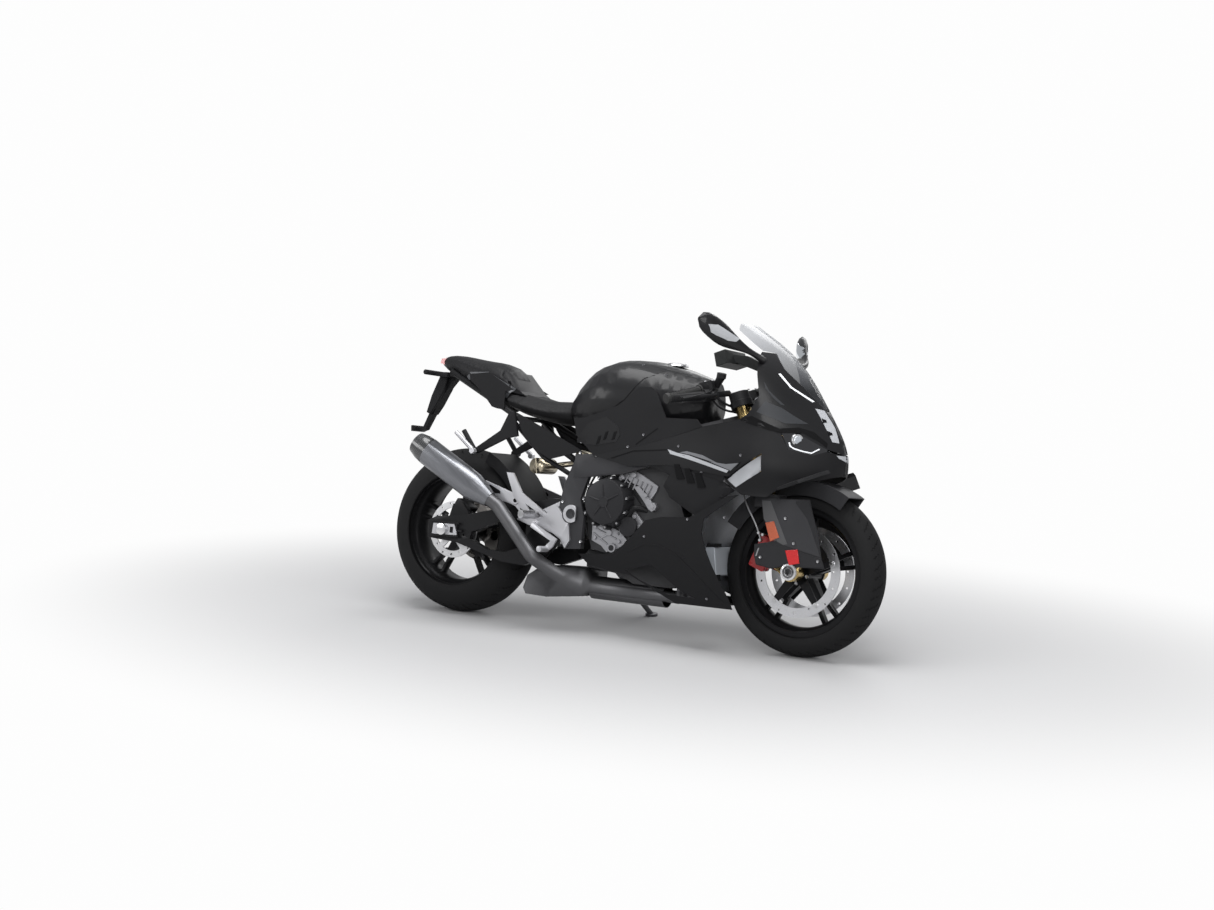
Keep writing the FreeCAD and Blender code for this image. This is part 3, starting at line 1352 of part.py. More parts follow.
def hull_core(clearance, side):
    """One side of all that the bodywork's surface encloses, with a clearance outside it."""
    loops = []
    for z, half in hull_levels:
        curve = [at(x + clearance, side * (y + clearance), z) for x, y in half]
        ends = [curve[-1], at(curve[-1].x, 0, z), at(curve[0].x, 0, z), curve[0]]
        loops.append(Part.Wire([smooth_edge(curve)] + Part.makePolygon(ends).Edges))
    return Part.makeLoft(loops, True, False)


def winglets(cores):
    """A wing on each side of the nose."""
    parts = []
    for side, core in zip((-1, 1), cores):
        loops = []
        for points, y in ((winglet_root, winglet_inner_y), (winglet_tip, winglet_outer_y)):
            loop = [at(x, side * y, z) for x, z in points]
            loops.append(Part.makePolygon(loop + loop[:1]))
        wing = Part.makeLoft(loops, True, True).cut(core)
        parts.append(max(wing.Solids, key=lambda solid: solid.Volume))
    return Part.makeCompound(parts)


mirror_shares = [(0.3885, 0.1415, 0.8481, 0.0108, 0.0062), (0.3912, 0.2241, 0.8598, 0.0108, 0.0062),
                 (0.3816, 0.2889, 0.873, 0.01, 0.0062), (0.3569, 0.3538, 0.8963, 0.0249, 0.0089),
                 (0.3363, 0.4068, 0.9162, 0.0365, 0.0165), (0.3212, 0.454, 0.9328, 0.0349, 0.0151),
                 (0.3102, 0.4858, 0.9427, 0.0232, 0.0096), (0.3061, 0.4988, 0.9461, 0.0066, 0.0034)]
mirror_sections = scaled(mirror_shares, wheelbase, body_width, body_height, body_height, wheelbase)


mirror_steps = 8
mirror_rows = 17
mirror_facets = 12


def mirror(core, side):
    """A teardrop mirror on a stalk that grows out of the screen's edge."""
    sections = []
    for x, y, z, tall, deep in mirror_sections:
        loop = []
        for index in range(mirror_steps):
            turn = 2 * math.pi * index / mirror_steps
            loop.append(at(x + deep * math.sin(turn), side * y, z + tall * math.cos(turn)))
        sections.append(loop)
    pod = faired_body(sections, mirror_rows, mirror_facets).cut(core)
    return max(pod.Solids, key=lambda solid: solid.Volume)


dash_shares = [(0.2416, 0.8332), (0.232, 0.873), (0.2615, 0.8863), (0.2732, 0.8465)]
dash_outline = side_view(dash_shares)
dash_half_width = 84
dash_stay_shares = [(0.3363, 0.6407), (0.4393, 0.644), (0.5491, 0.634), (0.5834, 0.6357), (0.5834, 0.6556),
                    (0.4585, 0.6639), (0.4585, 0.7303), (0.4118, 0.8216), (0.302, 0.873), (0.2649, 0.8763),
                    (0.2636, 0.8548), (0.3844, 0.8091), (0.4365, 0.722), (0.4365, 0.6656),
                    (0.3363, 0.6689)]
dash_stay_outline = side_view(dash_stay_shares)
dash_stay_half_width = 17


def hull_room(clearance):
    """The bodywork's shell with a clearance on both of its faces."""
    levels = [(z, [(x + clearance, y + clearance) for x, y in half]) for z, half in hull_levels]
    return hull_pair(levels, panel_wall + 2 * clearance)


def dashboard(skin, room):
    """The display on the stay that runs from the steering head, between the fork legs, to the nose."""
    display = plate(dash_outline, -dash_half_width, dash_half_width)
    stay = plate(dash_stay_outline, -dash_stay_half_width, dash_stay_half_width)
    head = rod(on_steering(lower_yoke_height), on_steering(upper_yoke_height), head_tube_radius + seat_gap)
    pieces = display.fuse(stay).cut([skin, room, head]).Solids
    return max(pieces, key=lambda solid: solid.Volume)


hugger_gap = 16
hugger_half_width = 88
hugger_front_angle = 12
hugger_rear_angle = 66
hugger_skirt = 40
hugger_lug_shares = (-0.2828, 0.3436)
hugger_lug_place = side_view([hugger_lug_shares])[0]
hugger_lug_radius = 8


def rear_hugger():
    """The hugger: an arched shell over the front of the rear tyre, with skirts down to the arms."""
    inner = rear_tyre_radius + hugger_gap
    top = arch(rear_axle_x, rear_axle_z, inner, inner + panel_wall, hugger_half_width, hugger_front_angle,
               hugger_rear_angle)
    skirts = []
    for side in (-1, 1):
        skirt = arch(rear_axle_x, rear_axle_z, inner - hugger_skirt, inner + panel_wall, panel_wall / 2,
                     hugger_front_angle, hugger_rear_angle)
        skirt.translate(at(0, side * (hugger_half_width + panel_wall / 2), 0))
        skirts.append(skirt)
        x, z = hugger_lug_place
        skirts.append(cross_rod(x, z, side * hugger_half_width, side * (arm_inner - seat_gap),
                                hugger_lug_radius))
    return top.fuse(skirts)


shock_top_shares = (-0.1441, 0.5477)
shock_top = side_view([shock_top_shares])[0]
shock_low_shares = (-0.173, 0.39)
shock_low = side_view([shock_low_shares])[0]
shock_body_radius = 30
spring_radius = 38
reservoir_shares = (-0.2553, 0.4929)
reservoir_place = side_view([reservoir_shares])[0]
reservoir_length = 110
neck_share = 0.8


def shock_absorber():
    """The rear shock with its spring and the reservoir beside it."""
    low = at(shock_low[0], 0, shock_low[1])
    high = at(shock_top[0], 0, shock_top[1])
    body = rod(low, high, spring_radius)
    tank = cross_rod(reservoir_place[0], reservoir_place[1], -reservoir_length / 2 - spring_radius,
                     reservoir_length / 2 - spring_radius, shock_body_radius)
    neck = rod(at(reservoir_place[0], 0, reservoir_place[1]), low + (high - low) * neck_share, bar_radius)
    return body.fuse([tank, neck]).cut(swingarm())


holder_shares = [(-0.5806, 0.7718), (-0.5628, 0.7651), (-0.604, 0.7054), (-0.6383, 0.6324),
                 (-0.6603, 0.5809), (-0.6795, 0.5726), (-0.6836, 0.5859), (-0.6671, 0.5909),
                 (-0.6465, 0.6473), (-0.6211, 0.7154)]
holder_outline = side_view(holder_shares)
holder_half_width = 15
holder_plate_shares = [(-0.5765, 0.7734), (-0.6259, 0.7718), (-0.6287, 0.7602), (-0.5806, 0.7568)]
holder_plate_outline = side_view(holder_plate_shares)
holder_tip_shares = (-0.6877, 0.5826)
holder_tip = side_view([holder_tip_shares])[0]
reflector_shares = [(-0.6932, 0.5726), (-0.6946, 0.5909), (-0.6891, 0.5925), (-0.6863, 0.5743)]
reflector_outline = side_view(reflector_shares)
reflector_half_width = 42
indicator_x = -908
indicator_z = 925
indicator_y = 118
indicator_radius = 10
holder_plate_half_width = 62


def plate_holder():
    """The number-plate arm below the tail, its blank backing, a reflector and the indicators."""
    arm = plate(holder_outline, -holder_half_width, holder_half_width)
    backing = plate(holder_plate_outline, -holder_plate_half_width, holder_plate_half_width)
    reflector = plate(reflector_outline, -reflector_half_width, reflector_half_width)
    stalks = cross_rod(indicator_x, indicator_z, -indicator_y, indicator_y, indicator_radius)
    tip_x, tip_z = holder_tip
    tie = cross_rod(tip_x, tip_z, -holder_half_width, holder_half_width, indicator_radius)
    room = [tail_cowl(), tail_tie(brace_radius + seat_gap)] + rails(rail_radius + seat_gap)
    body = arm.fuse([backing, reflector, stalks, tie]).cut(room)
    return min(body.Solids, key=lambda solid: solid.CenterOfMass.z)


hanger_shares = [(-0.103, 0.3253), (-0.14, 0.3751), (-0.1716, 0.3485), (-0.2498, 0.405), (-0.2814, 0.4647),
                 (-0.302, 0.4647), (-0.2732, 0.39), (-0.2059, 0.3087), (-0.1469, 0.2905),
                 (-0.1235, 0.2739), (-0.1084, 0.249), (-0.0961, 0.2739)]
hanger_outline = side_view(hanger_shares)
hanger_hole_shares = [(-0.1798, 0.3386), (-0.2059, 0.3303), (-0.2375, 0.3734)]
hanger_hole = side_view(hanger_hole_shares)
peg_x = -300
peg_z = 408
peg_outer = 284
peg_radius = 12
pedal_shares = [(-0.2004, 0.3187), (-0.1235, 0.2739), (-0.1345, 0.249), (-0.151, 0.2324),
                (-0.1592, 0.2456), (-0.1414, 0.2672), (-0.2059, 0.3037)]
pedal_outline = side_view(pedal_shares)
pedal_tip_shares = (-0.1524, 0.2407)
pedal_tip = side_view([pedal_tip_shares])[0]
pedal_root_shares = (-0.199, 0.312)
pedal_root = side_view([pedal_root_shares])[0]
pedal_y = 205
pedal_thickness = 8
pedal_pad = 58


def rider_footrests():
    """Rider's footrest hangers with pegs, the brake pedal on the right and gear lever on the left."""
    parts = []
    for side in (-1, 1):
        inner = side * (frame_inner + frame_thickness + seat_gap)
        outer = inner + side * pivot_cap_height
        hanger = plate(hanger_outline, inner, outer)
        opening = plate(hanger_hole, inner - side * cut_over, outer + side * cut_over)
        cap = cross_rod(pivot_x, pivot_z, inner - side * cut_over, outer + side * cut_over,
                        pivot_cap_radius + seat_gap)
        hanger = hanger.cut(opening).cut(cap)
        peg = cross_rod(peg_x, peg_z, inner, side * peg_outer, peg_radius)
        lever = plate(pedal_outline, side * pedal_y, side * (pedal_y + pedal_thickness))
        pad = cross_rod(pedal_tip[0], pedal_tip[1], side * pedal_y, side * (pedal_y + pedal_pad), bar_radius)
        tie = cross_rod(pedal_root[0], pedal_root[1], inner, side * pedal_y, bar_radius)
        parts.append(hanger.fuse([peg, lever, pad, tie]))
    return Part.makeCompound(parts)


pillion_shares = [(-0.3322, 0.6573), (-0.3171, 0.6556), (-0.302, 0.5809), (-0.3363, 0.571),
                  (-0.4255, 0.5162), (-0.4338, 0.5311), (-0.3569, 0.5942)]
pillion_outline = side_view(pillion_shares)
pillion_inner = rail_y + rail_radius + seat_gap
pillion_thickness = 12
pillion_hinge_shares = (-0.4269, 0.5261)
pillion_hinge = side_view([pillion_hinge_shares])[0]
pillion_fold = 51.5
pillion_peg_radius = 9.6
pillion_peg_length = 92


def pillion_footrests():
    """Pillion footrest brackets, with their pegs folded up."""
    parts = []
    for side in (-1, 1):
        inner = side * pillion_inner
        outer = side * (pillion_inner + pillion_thickness)
        bracket = plate(pillion_outline, inner, outer)
        x, z = pillion_hinge
        hinge = cross_rod(x, z, inner, outer + side * 2 * pillion_thickness, pillion_thickness)
        root = at(x, outer + side * pillion_thickness, z)
        fold = math.radians(pillion_fold)
        peg = rod(root, root + at(-math.cos(fold), 0, math.sin(fold)) * pillion_peg_length, pillion_peg_radius)
        parts.append(bracket.fuse([hinge, peg]).cut(rails(rail_radius + 3 * seat_gap)))
    return Part.makeCompound(parts)


# The lean: top over to the left
lean = math.radians(lean_angle)


def leaned(point):
    """Where a point of the upright frame goes when the bike leans to its left."""
    return at(point.x, point.y * math.cos(lean) + point.z * math.sin(lean),
              point.z * math.cos(lean) - point.y * math.sin(lean))


def unleaned(point):
    return at(point.x, point.y * math.cos(lean) - point.z * math.sin(lean),
              point.z * math.cos(lean) + point.y * math.sin(lean))


rear_sink = (rear_tyre_width / 2) * (1 - math.cos(lean))
front_sink = (front_tyre_width / 2) * (1 - math.cos(lean))
level = math.atan2(rear_sink - front_sink, wheelbase)
ground_z = -(rear_sink * (front_axle_x - stand_foot_x) + front_sink * (stand_foot_x - rear_axle_x)) / wheelbase
stand_pivot = at(stand_pivot_x, stand_pivot_y, stand_pivot_z)
foot_row = leaned(at(stand_foot_x, stand_foot_y, 0))
foot_point = unleaned(at(foot_row.x, foot_row.y, ground_z))
stand_down = (foot_point - stand_pivot).normalize()
stand_folded = at(-1, stand_fold_slope_y, stand_fold_slope_z).normalize()
stand_axis = stand_down.cross(stand_folded).normalize()
row_up = unleaned(at(0, 0, 1))


def side_stand():
    """The side stand: a leg from its pivot boss down to a round foot that lies flat on the ground."""
    boss = rod(stand_pivot - stand_axis * stand_boss_half, stand_pivot + stand_axis * stand_boss_half,
               stand_boss_radius)
    ankle = foot_point + row_up * (stand_foot_thickness / 2)
    leg = rod(stand_pivot, ankle, stand_leg_radius)
    foot = rod(foot_point, foot_point + row_up * stand_foot_thickness, stand_foot_radius)
    pin = rod(stand_pivot - stand_axis * (2 * stand_boss_half), stand_pivot + stand_axis * (2 * stand_boss_half),
              stand_leg_radius / 2 + running_clearance)
    body = boss.fuse([leg, foot]).cut(pin)
    floor = rod(foot_point - row_up * stand_foot_radius, foot_point, 2 * stand_foot_radius)
    return body.cut(floor)


def stand_bracket():
    """The fork that holds the stand's pivot, hanging below the left frame plate."""
    root = at(stand_pivot_x, frame_inner + frame_thickness / 2, frame_corner[1] + pivot_radius)
    pieces = []
    for side in (-1, 1):
        near = stand_pivot + stand_axis * (side * (stand_boss_half + seat_gap))
        far = near + stand_axis * (side * adjuster_thickness)
        pieces.append(rod(near, far, stand_boss_radius))
        pieces.append(rod(far - stand_axis * (side * adjuster_thickness / 2), root, stand_leg_radius / 2))
    pin = rod(stand_pivot - stand_axis * (2 * stand_boss_half), stand_pivot + stand_axis * (2 * stand_boss_half),
              stand_leg_radius / 2)
    body = pieces[0].fuse(pieces[1:] + [pin])
    sweep = rod(stand_pivot - stand_axis * (stand_boss_half + seat_gap),
                stand_pivot + stand_axis * (stand_boss_half + seat_gap), stand_boss_radius + moving_gap)
    return body.cut(sweep).fuse(pin)


def build():
    """Each node's shape, in the upright frame."""
    fx, fz, rx, rz = front_axle_x, front_axle_z, rear_axle_x, rear_axle_z
    discs = [
        disc(fx, fz, side * front_disc_y, front_disc_radius, front_disc_inner, front_disc_thickness,
             side * front_hub_half)
        for side in (-1, 1)
    ]
    skin = hull_pair(hull_levels, panel_wall)
    flank = side_fairing(skin)
    room = hull_room(seat_gap)
    cores = [hull_core(seat_gap, side) for side in (-1, 1)]
    return {
        "front_tyre": tyre(fx, fz, front_tyre_radius, front_tyre_width, front_bead_width),
        "front_rim": rim(fx, fz, front_bead_width, front_hub_half),
        "front_discs": Part.makeCompound(discs),
        "rear_tyre": tyre(rx, rz, rear_tyre_radius, rear_tyre_width, rear_bead_width),
        "rear_rim": rim(rx, rz, rear_bead_width, rear_hub_half),
        "rear_disc": disc(rx, rz, -rear_disc_y, rear_disc_radius, rear_disc_inner, rear_disc_thickness,
                          -rear_hub_half),
        "rear_sprocket": rear_sprocket(),
        "drive_chain": drive_chain(),
        "front_axle": front_axle(),
        "rear_axle": rear_axle(),
        "fork_legs": fork_legs(),
        "fork_yokes": fork_yokes(),
        "handlebars": handlebars(),
        "front_mudguard": front_mudguard(),
        "front_calipers": front_calipers(),
        "rear_caliper": rear_caliper(),
        "swingarm": swingarm(),
        "main_frame": main_frame().fuse(stand_bracket()),
        "subframe": subframe(),
        "engine_block": engine_block(),
        "engine_covers": engine_covers(),
        "radiator": radiator(),
        "exhaust_system": exhaust_system(),
        "silencer": silencer(),
        "silencer_cap": silencer_cap(),
        "fuel_tank": fuel_tank(),
        "rider_seat": rider_seat(),
        "tail_cowl": tail_cowl(),
        "tail_lamp": tail_lamp(),
        "plate_holder": plate_holder(),
        "nose_fairing": trim(skin, nose_outline),
        "windscreen": trim(skin, screen_outline),
        "headlamps": headlamps(),
        "right_side_fairing": flank,
        "left_side_fairing": flank.mirror(at(0, 0, 0), at(0, 1, 0)),
        "infill_panels": infill_panels(),
        "winglets": winglets(cores),
        "belly_fairing": belly_fairing(),
        "right_mirror": mirror(cores[0], -1),
        "left_mirror": mirror(cores[1], 1),
        "dashboard": dashboard(skin, room),
        "rear_hugger": rear_hugger(),
        "shock_absorber": shock_absorber(),
        "rider_footrests": rider_footrests(),
        "pillion_footrests": pillion_footrests(),
        "side_stand": side_stand(),
    }


def settle(shape):
    """Leans a shape and levels it, so that both tyres rest on the ground."""
    shape.rotate(at(0, 0, 0), at(1, 0, 0), -lean_angle)
    shape.rotate(at(rear_axle_x, 0, 0), at(0, 1, 0), math.degrees(level))
    shape.translate(at(0, 0, rear_sink))
    return shape


def place(shapes):
    """Settles every shape, then brings the middle of the whole to the origin."""
    box = FreeCAD.BoundBox()
    for shape in shapes.values():
        settle(shape)
        box.add(shape.optimalBoundingBox(False, False))
    shift = at(-box.Center.x, -box.Center.y, 0)
    for shape in shapes.values():
        shape.translate(shift)
    return shift


shapes = build()
row_shift = place(shapes)
for name, shape in shapes.items():
    shape.exportStep("parts/" + name + ".step")
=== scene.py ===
import json
import math
import bpy
import bmesh
from mathutils import Matrix, Vector
from mathutils.bvhtree import BVHTree

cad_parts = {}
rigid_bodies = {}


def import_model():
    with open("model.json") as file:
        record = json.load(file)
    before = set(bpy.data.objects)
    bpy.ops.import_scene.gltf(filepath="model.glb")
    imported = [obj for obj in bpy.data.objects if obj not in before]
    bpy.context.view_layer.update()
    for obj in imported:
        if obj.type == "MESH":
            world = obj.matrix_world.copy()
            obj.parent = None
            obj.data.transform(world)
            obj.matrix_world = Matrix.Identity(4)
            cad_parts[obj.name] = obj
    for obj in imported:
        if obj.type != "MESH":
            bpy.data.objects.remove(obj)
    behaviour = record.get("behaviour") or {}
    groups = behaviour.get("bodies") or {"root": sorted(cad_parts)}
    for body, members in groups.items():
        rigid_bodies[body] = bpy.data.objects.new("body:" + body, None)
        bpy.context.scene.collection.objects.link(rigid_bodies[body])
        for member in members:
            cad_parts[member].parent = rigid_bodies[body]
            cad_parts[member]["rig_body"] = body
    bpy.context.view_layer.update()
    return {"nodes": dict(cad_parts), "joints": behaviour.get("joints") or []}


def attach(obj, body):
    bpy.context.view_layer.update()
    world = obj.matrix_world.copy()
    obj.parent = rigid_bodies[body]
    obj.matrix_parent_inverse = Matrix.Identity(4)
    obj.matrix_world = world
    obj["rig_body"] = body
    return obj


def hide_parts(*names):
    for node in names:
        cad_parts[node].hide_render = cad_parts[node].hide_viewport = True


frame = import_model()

# The camera stands ahead of the motorcycle on its right, where the photograph was taken.
# The pieces are drawn in millimetres on the upright machine, X forward, Y to its left, Z up from
# the ground midway between its wheels, and then leaned with it: its axles give where it stands.
scene = bpy.context.scene
scene.view_settings.view_transform = "Standard"
wheelbase = 1457.0
front_radius = 300.0
rear_radius = 320.0
front_x = wheelbase / 2
rear_x = -wheelbase / 2
joints = {joint["name"]: joint for joint in frame["joints"]}
front_hub = Vector(joints["front_wheel_spin"]["pos_m"])
rear_hub = Vector(joints["rear_wheel_spin"]["pos_m"])


def square_axes(forward, left):
    """Three axes at right angles, as a matrix's columns."""
    up = forward.cross(left).normalized()
    forward = left.cross(up).normalized()
    return Matrix((forward, left.normalized(), up)).transposed()


drawn_axes = square_axes(Vector((wheelbase, 0, front_radius - rear_radius)), Vector((0, 1, 0)))
real_axes = square_axes(front_hub - rear_hub, Vector(joints["rear_wheel_spin"]["axis"]))
turn = real_axes @ drawn_axes.inverted()
per_metre = 1000
drawn_hub = Vector((rear_x, 0, rear_radius)) / per_metre
to_row = Matrix.Translation(rear_hub - turn @ drawn_hub) @ turn.to_4x4() @ Matrix.Scale(1 / per_metre, 4)

camera_from_hub = Vector((4.0345, -5.7150, 1.2303))
camera_yaw = math.radians(30.7)
camera_dip = math.radians(7.63)
film_width = 36
focal_pixels = 1796
picture_pixels = 1214
camera_data = bpy.data.cameras.new("camera")
camera_data.sensor_width = film_width
camera_data.lens = focal_pixels / picture_pixels * film_width
camera = bpy.data.objects.new("camera", camera_data)
camera.location = rear_hub + camera_from_hub
camera.rotation_euler = (math.pi / 2 - camera_dip, 0, camera_yaw)
scene.collection.objects.link(camera)
scene.camera = camera

# The studio: a floor that runs out into a white room; its grey round the machine is a painted shadow pool.
# Large soft lamps hang over the machine and stand at its sides, as in the photograph.
class Value:
    """A shader socket that takes part in Python expressions."""

    def __init__(self, finish, socket):
        self.finish = finish
        self.socket = socket

    def math(self, operation, *others):
        return self.finish.node("Math", {"operation": operation}, (self, *others))

    def __add__(self, other):
        return self.math("ADD", other)

    def __sub__(self, other):
        return self.math("SUBTRACT", other)

    def __rsub__(self, other):
        return self.math("MULTIPLY", -1).math("ADD", other)

    def __mul__(self, other):
        return self.math("MULTIPLY", other)

    __radd__ = __add__
    __rmul__ = __mul__


class Finish:
    """A procedural material: its shader's own values, and the nodes that vary them."""

    def __init__(self, name, **fixed):
        self.material = bpy.data.materials.new(name)
        self.material.use_nodes = True
        self.tree = self.material.node_tree
        self.shader = self.tree.nodes["Principled BSDF"]
        for key, value in fixed.items():
            self.shader.inputs[key.replace("_", " ")].default_value = value

    def node(self, kind, settings=None, values=(), output=0):
        """Any shader node, from its type, its settings, and its sockets' values or links."""
        node = self.tree.nodes.new("ShaderNode" + kind)
        for key, value in (settings or {}).items():
            if key == "stops":
                for stop, (place, colour) in zip(node.color_ramp.elements, value):
                    stop.position = place
                    stop.color = (*colour, 1)
            else:
                setattr(node, key, value)
        pairs = values.items() if isinstance(values, dict) else enumerate(values)
        for key, value in pairs:
            if value is None:
                continue
            if isinstance(value, Value):
                self.tree.links.new(value.socket, node.inputs[key])
            else:
                node.inputs[key].default_value = value
        return Value(self, node.outputs[output])

    def place(self, scale=(1, 1, 1), turn=(0, 0, 0)):
        """Object coordinates, turned and stretched."""
        here = self.node("TexCoord", output="Object")
        return self.node("Mapping", values={"Vector": here, "Scale": scale, "Rotation": turn})

    def noise(self, where, scale, detail=4):
        return self.node("TexNoise", values={"Vector": where, "Scale": scale, "Detail": detail})

    def blend(self, share, low, high):
        """A colour between two, by a share."""
        return self.node("Mix", {"data_type": "RGBA"}, {0: share,
                                                        6: (*low, 1) if isinstance(low, tuple) else low,
                                                        7: (*high, 1) if isinstance(high,
                                                                                    tuple) else high}, 2)

    def between(self, share, low, high):
        return share * (high - low) + low

    def bump(self, height, depth, strength=1.0):
        return self.node("Bump", values={"Strength": strength, "Distance": depth, "Height": height})

    def feed(self, **links):
        for key, value in links.items():
            self.tree.links.new(value.socket, self.shader.inputs[key.replace("_", " ")])
        return self.material


floor_size = 60.0
room_white = (0.985, 0.985, 0.985, 1)
pool_fade_starts, pool_fade_ends = 0.6, 1.9
pool_squeeze = 0.62
floor_mesh = bpy.data.meshes.new("floor")
draft = bmesh.new()
bmesh.ops.create_grid(draft, x_segments=1, y_segments=1, size=floor_size / 2)
draft.to_mesh(floor_mesh)
draft.free()
floor = bpy.data.objects.new("floor", floor_mesh)
scene.collection.objects.link(floor)
# The floor's grey near the machine, fading to white further out, is a painted shadow pool; the lamps' real
# shadows fall on it too.
paper = Finish("floor", Base_Color=(0.43, 0.43, 0.435, 1), Roughness=0.6, Specular_IOR_Level=0.15)
ahead = paper.node("VectorMath", {"operation": "LENGTH"},
                   (paper.place((pool_squeeze, 1, 1), (0, 0, -camera_yaw)),), "Value")
pool_blend = paper.node("MapRange", {"interpolation_type": "SMOOTHSTEP"},
                  {"Value": ahead, "From Min": pool_fade_starts, "From Max": pool_fade_ends})
sight = paper.node("LightPath", output="Is Camera Ray") + paper.node("LightPath", output="Is Glossy Ray")
sight = sight + paper.node("LightPath", output="Is Transmission Ray")
white = paper.node("Emission", values={"Color": room_white, "Strength": 1.0})
shine = paper.node("MixShader", values={0: pool_blend * sight, 1: Value(paper, paper.shader.outputs[0]),
                                        2: white})
paper.tree.links.new(shine.socket, paper.tree.nodes["Material Output"].inputs["Surface"])
floor.data.materials.append(paper.material)

world = bpy.data.worlds.new("studio")
world.use_nodes = True
scene.world = world
air = world.node_tree
back = air.nodes["Background"]
back.inputs["Color"].default_value = (0.95, 0.96, 0.98, 1)
back.inputs["Strength"].default_value = 0.5
seen = air.nodes.new("ShaderNodeBackground")
seen.inputs["Color"].default_value = room_white
path = air.nodes.new("ShaderNodeLightPath")
either = air.nodes.new("ShaderNodeMath")
either.operation = "MAXIMUM"
air.links.new(path.outputs["Is Camera Ray"], either.inputs[0])
air.links.new(path.outputs["Is Transmission Ray"], either.inputs[1])
choose = air.nodes.new("ShaderNodeMixShader")
air.links.new(either.outputs[0], choose.inputs[0])
air.links.new(back.outputs[0], choose.inputs[1])
air.links.new(seen.outputs[0], choose.inputs[2])
air.links.new(choose.outputs[0], air.nodes["World Output"].inputs["Surface"])

lamps = {
    "top": ((0.1, -0.5, 3.2), (0, 0, 0), 3.0, 1.6, 110),
    "front_right": ((2.9, -3.4, 2.3), (math.radians(62), 0, math.radians(40)), 2.4, 1.4, 75),
    "rear_right": ((-3.2, -2.8, 2.0), (math.radians(64), 0, math.radians(-50)), 2.0, 1.2, 45),
    "left": ((0.0, 3.6, 2.6), (math.radians(-58), 0, 0), 3.2, 1.6, 55),
}
for name, (place, aim, length, width, power) in lamps.items():
    lamp_data = bpy.data.lights.new("lamp_" + name, "AREA")
    lamp_data.shape = "RECTANGLE"
    lamp_data.size = length
    lamp_data.size_y = width
    lamp_data.energy = power
    lamp = bpy.data.objects.new("lamp_" + name, lamp_data)
    lamp.location = place
    lamp.rotation_euler = aim
    scene.collection.objects.link(lamp)


def toned(colour, share):
    """A colour made darker or lighter."""
    return tuple(share * part for part in colour)


def grained(name, colour, roughness, grain=900.0, depth=0.00012, **fixed):
    """A satin finish with a fine grain and a little unevenness in its sheen."""
    finish = Finish(name, Roughness=roughness, **{"Specular_IOR_Level": 0.14, **fixed})
    here = finish.place()
    fine = finish.noise(here, grain, 2)
    broad = finish.noise(here, 9.0, 3)
    tone = finish.blend(broad, toned(colour, 0.88), toned(colour, 1.1))
    sheen = finish.between(broad, roughness * 0.88, roughness * 1.1)
    return finish.feed(Base_Color=tone, Roughness=sheen, Normal=finish.bump(fine, depth, 0.5))


def shaded(mesh, crease):
    """Smooth shading, broken at edges sharper than the crease."""
    for face in mesh.polygons:
        face.use_smooth = True
    mesh.set_sharp_from_angle(angle=math.radians(crease))


def eased(piece, width, sharpest, harden=False):
    """Rounds the edges of a piece, as its mould does."""
    ease = piece.modifiers.new("edge", "BEVEL")
    ease.width = width
    ease.segments = 2
    ease.limit_method = "ANGLE"
    ease.angle_limit = math.radians(sharpest)
    ease.harden_normals = harden


def dressed(node, finish, crease=34, edge=0.0):
    """A CAD piece with its facets merged, its edges eased where asked, and its finish."""
    draft = bmesh.new()
    draft.from_mesh(frame["nodes"][node].data)
    bmesh.ops.remove_doubles(draft, verts=draft.verts, dist=2e-6)
    mesh = bpy.data.meshes.new(node + "_dressed")
    draft.to_mesh(mesh)
    draft.free()
    shaded(mesh, crease)
    mesh.materials.append(finish)
    piece = bpy.data.objects.new(node + "_dressed", mesh)
    scene.collection.objects.link(piece)
    if edge:
        eased(piece, edge, 50, harden=True)
    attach(piece, frame["nodes"][node]["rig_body"])
    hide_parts(node)
    return piece


def made(name, draft, body, finish, crease=34, edge=0.0):
    """A piece drawn in millimetres on the upright machine, set in its place with its finish."""
    bmesh.ops.remove_doubles(draft, verts=draft.verts, dist=0.01)
    bmesh.ops.recalc_face_normals(draft, faces=draft.faces)
    draft.transform(to_row)
    mesh = bpy.data.meshes.new(name)
    draft.to_mesh(mesh)
    draft.free()
    shaded(mesh, crease)
    mesh.materials.append(finish)
    piece = bpy.data.objects.new(name, mesh)
    scene.collection.objects.link(piece)
    if edge:
        eased(piece, edge, 40)
    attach(piece, body)
    return piece


def plate(draft, points, y_from, y_to):
    """A flat plate from its outline in side view."""
    face = draft.faces.new([draft.verts.new((x, y_from, z)) for x, z in points])
    grown = bmesh.ops.extrude_face_region(draft, geom=[face])["geom"]
    fresh = [part for part in grown if isinstance(part, bmesh.types.BMVert)]
    bmesh.ops.translate(draft, verts=fresh, vec=(0, y_to - y_from, 0))


def round_bar(draft, start, end, radius, end_radius=None, segments=24):
    """A round bar or cone between two points; its vertices are returned."""
    start, end = Vector(start), Vector(end)
    run = end - start
    where = Matrix.Translation((start + end) / 2) @ run.to_track_quat("Z", "Y").to_matrix().to_4x4()
    far_radius = radius if end_radius is None else end_radius
    return bmesh.ops.create_cone(draft, cap_ends=True, segments=segments, radius1=radius,
                                 radius2=far_radius, depth=run.length, matrix=where)["verts"]


def hose(draft, points, radius):
    """A round hose or cable along a smooth route."""
    curve = bpy.data.curves.new("route", "CURVE")
    curve.dimensions = "3D"
    spline = curve.splines.new("NURBS")
    spline.points.add(len(points) - 1)
    for spot, place in zip(spline.points, points):
        spot.co = (*place, 1)
    spline.order_u = 3
    spline.use_endpoint_u = True
    curve.bevel_depth = radius
    curve.bevel_resolution = 3
    curve.resolution_u = 8
    curve.use_fill_caps = True
    route = bpy.data.objects.new("route", curve)
    mesh = bpy.data.meshes.new_from_object(route)
    draft.from_mesh(mesh)
    bpy.data.objects.remove(route)
    bpy.data.curves.remove(curve)
    bpy.data.meshes.remove(mesh)


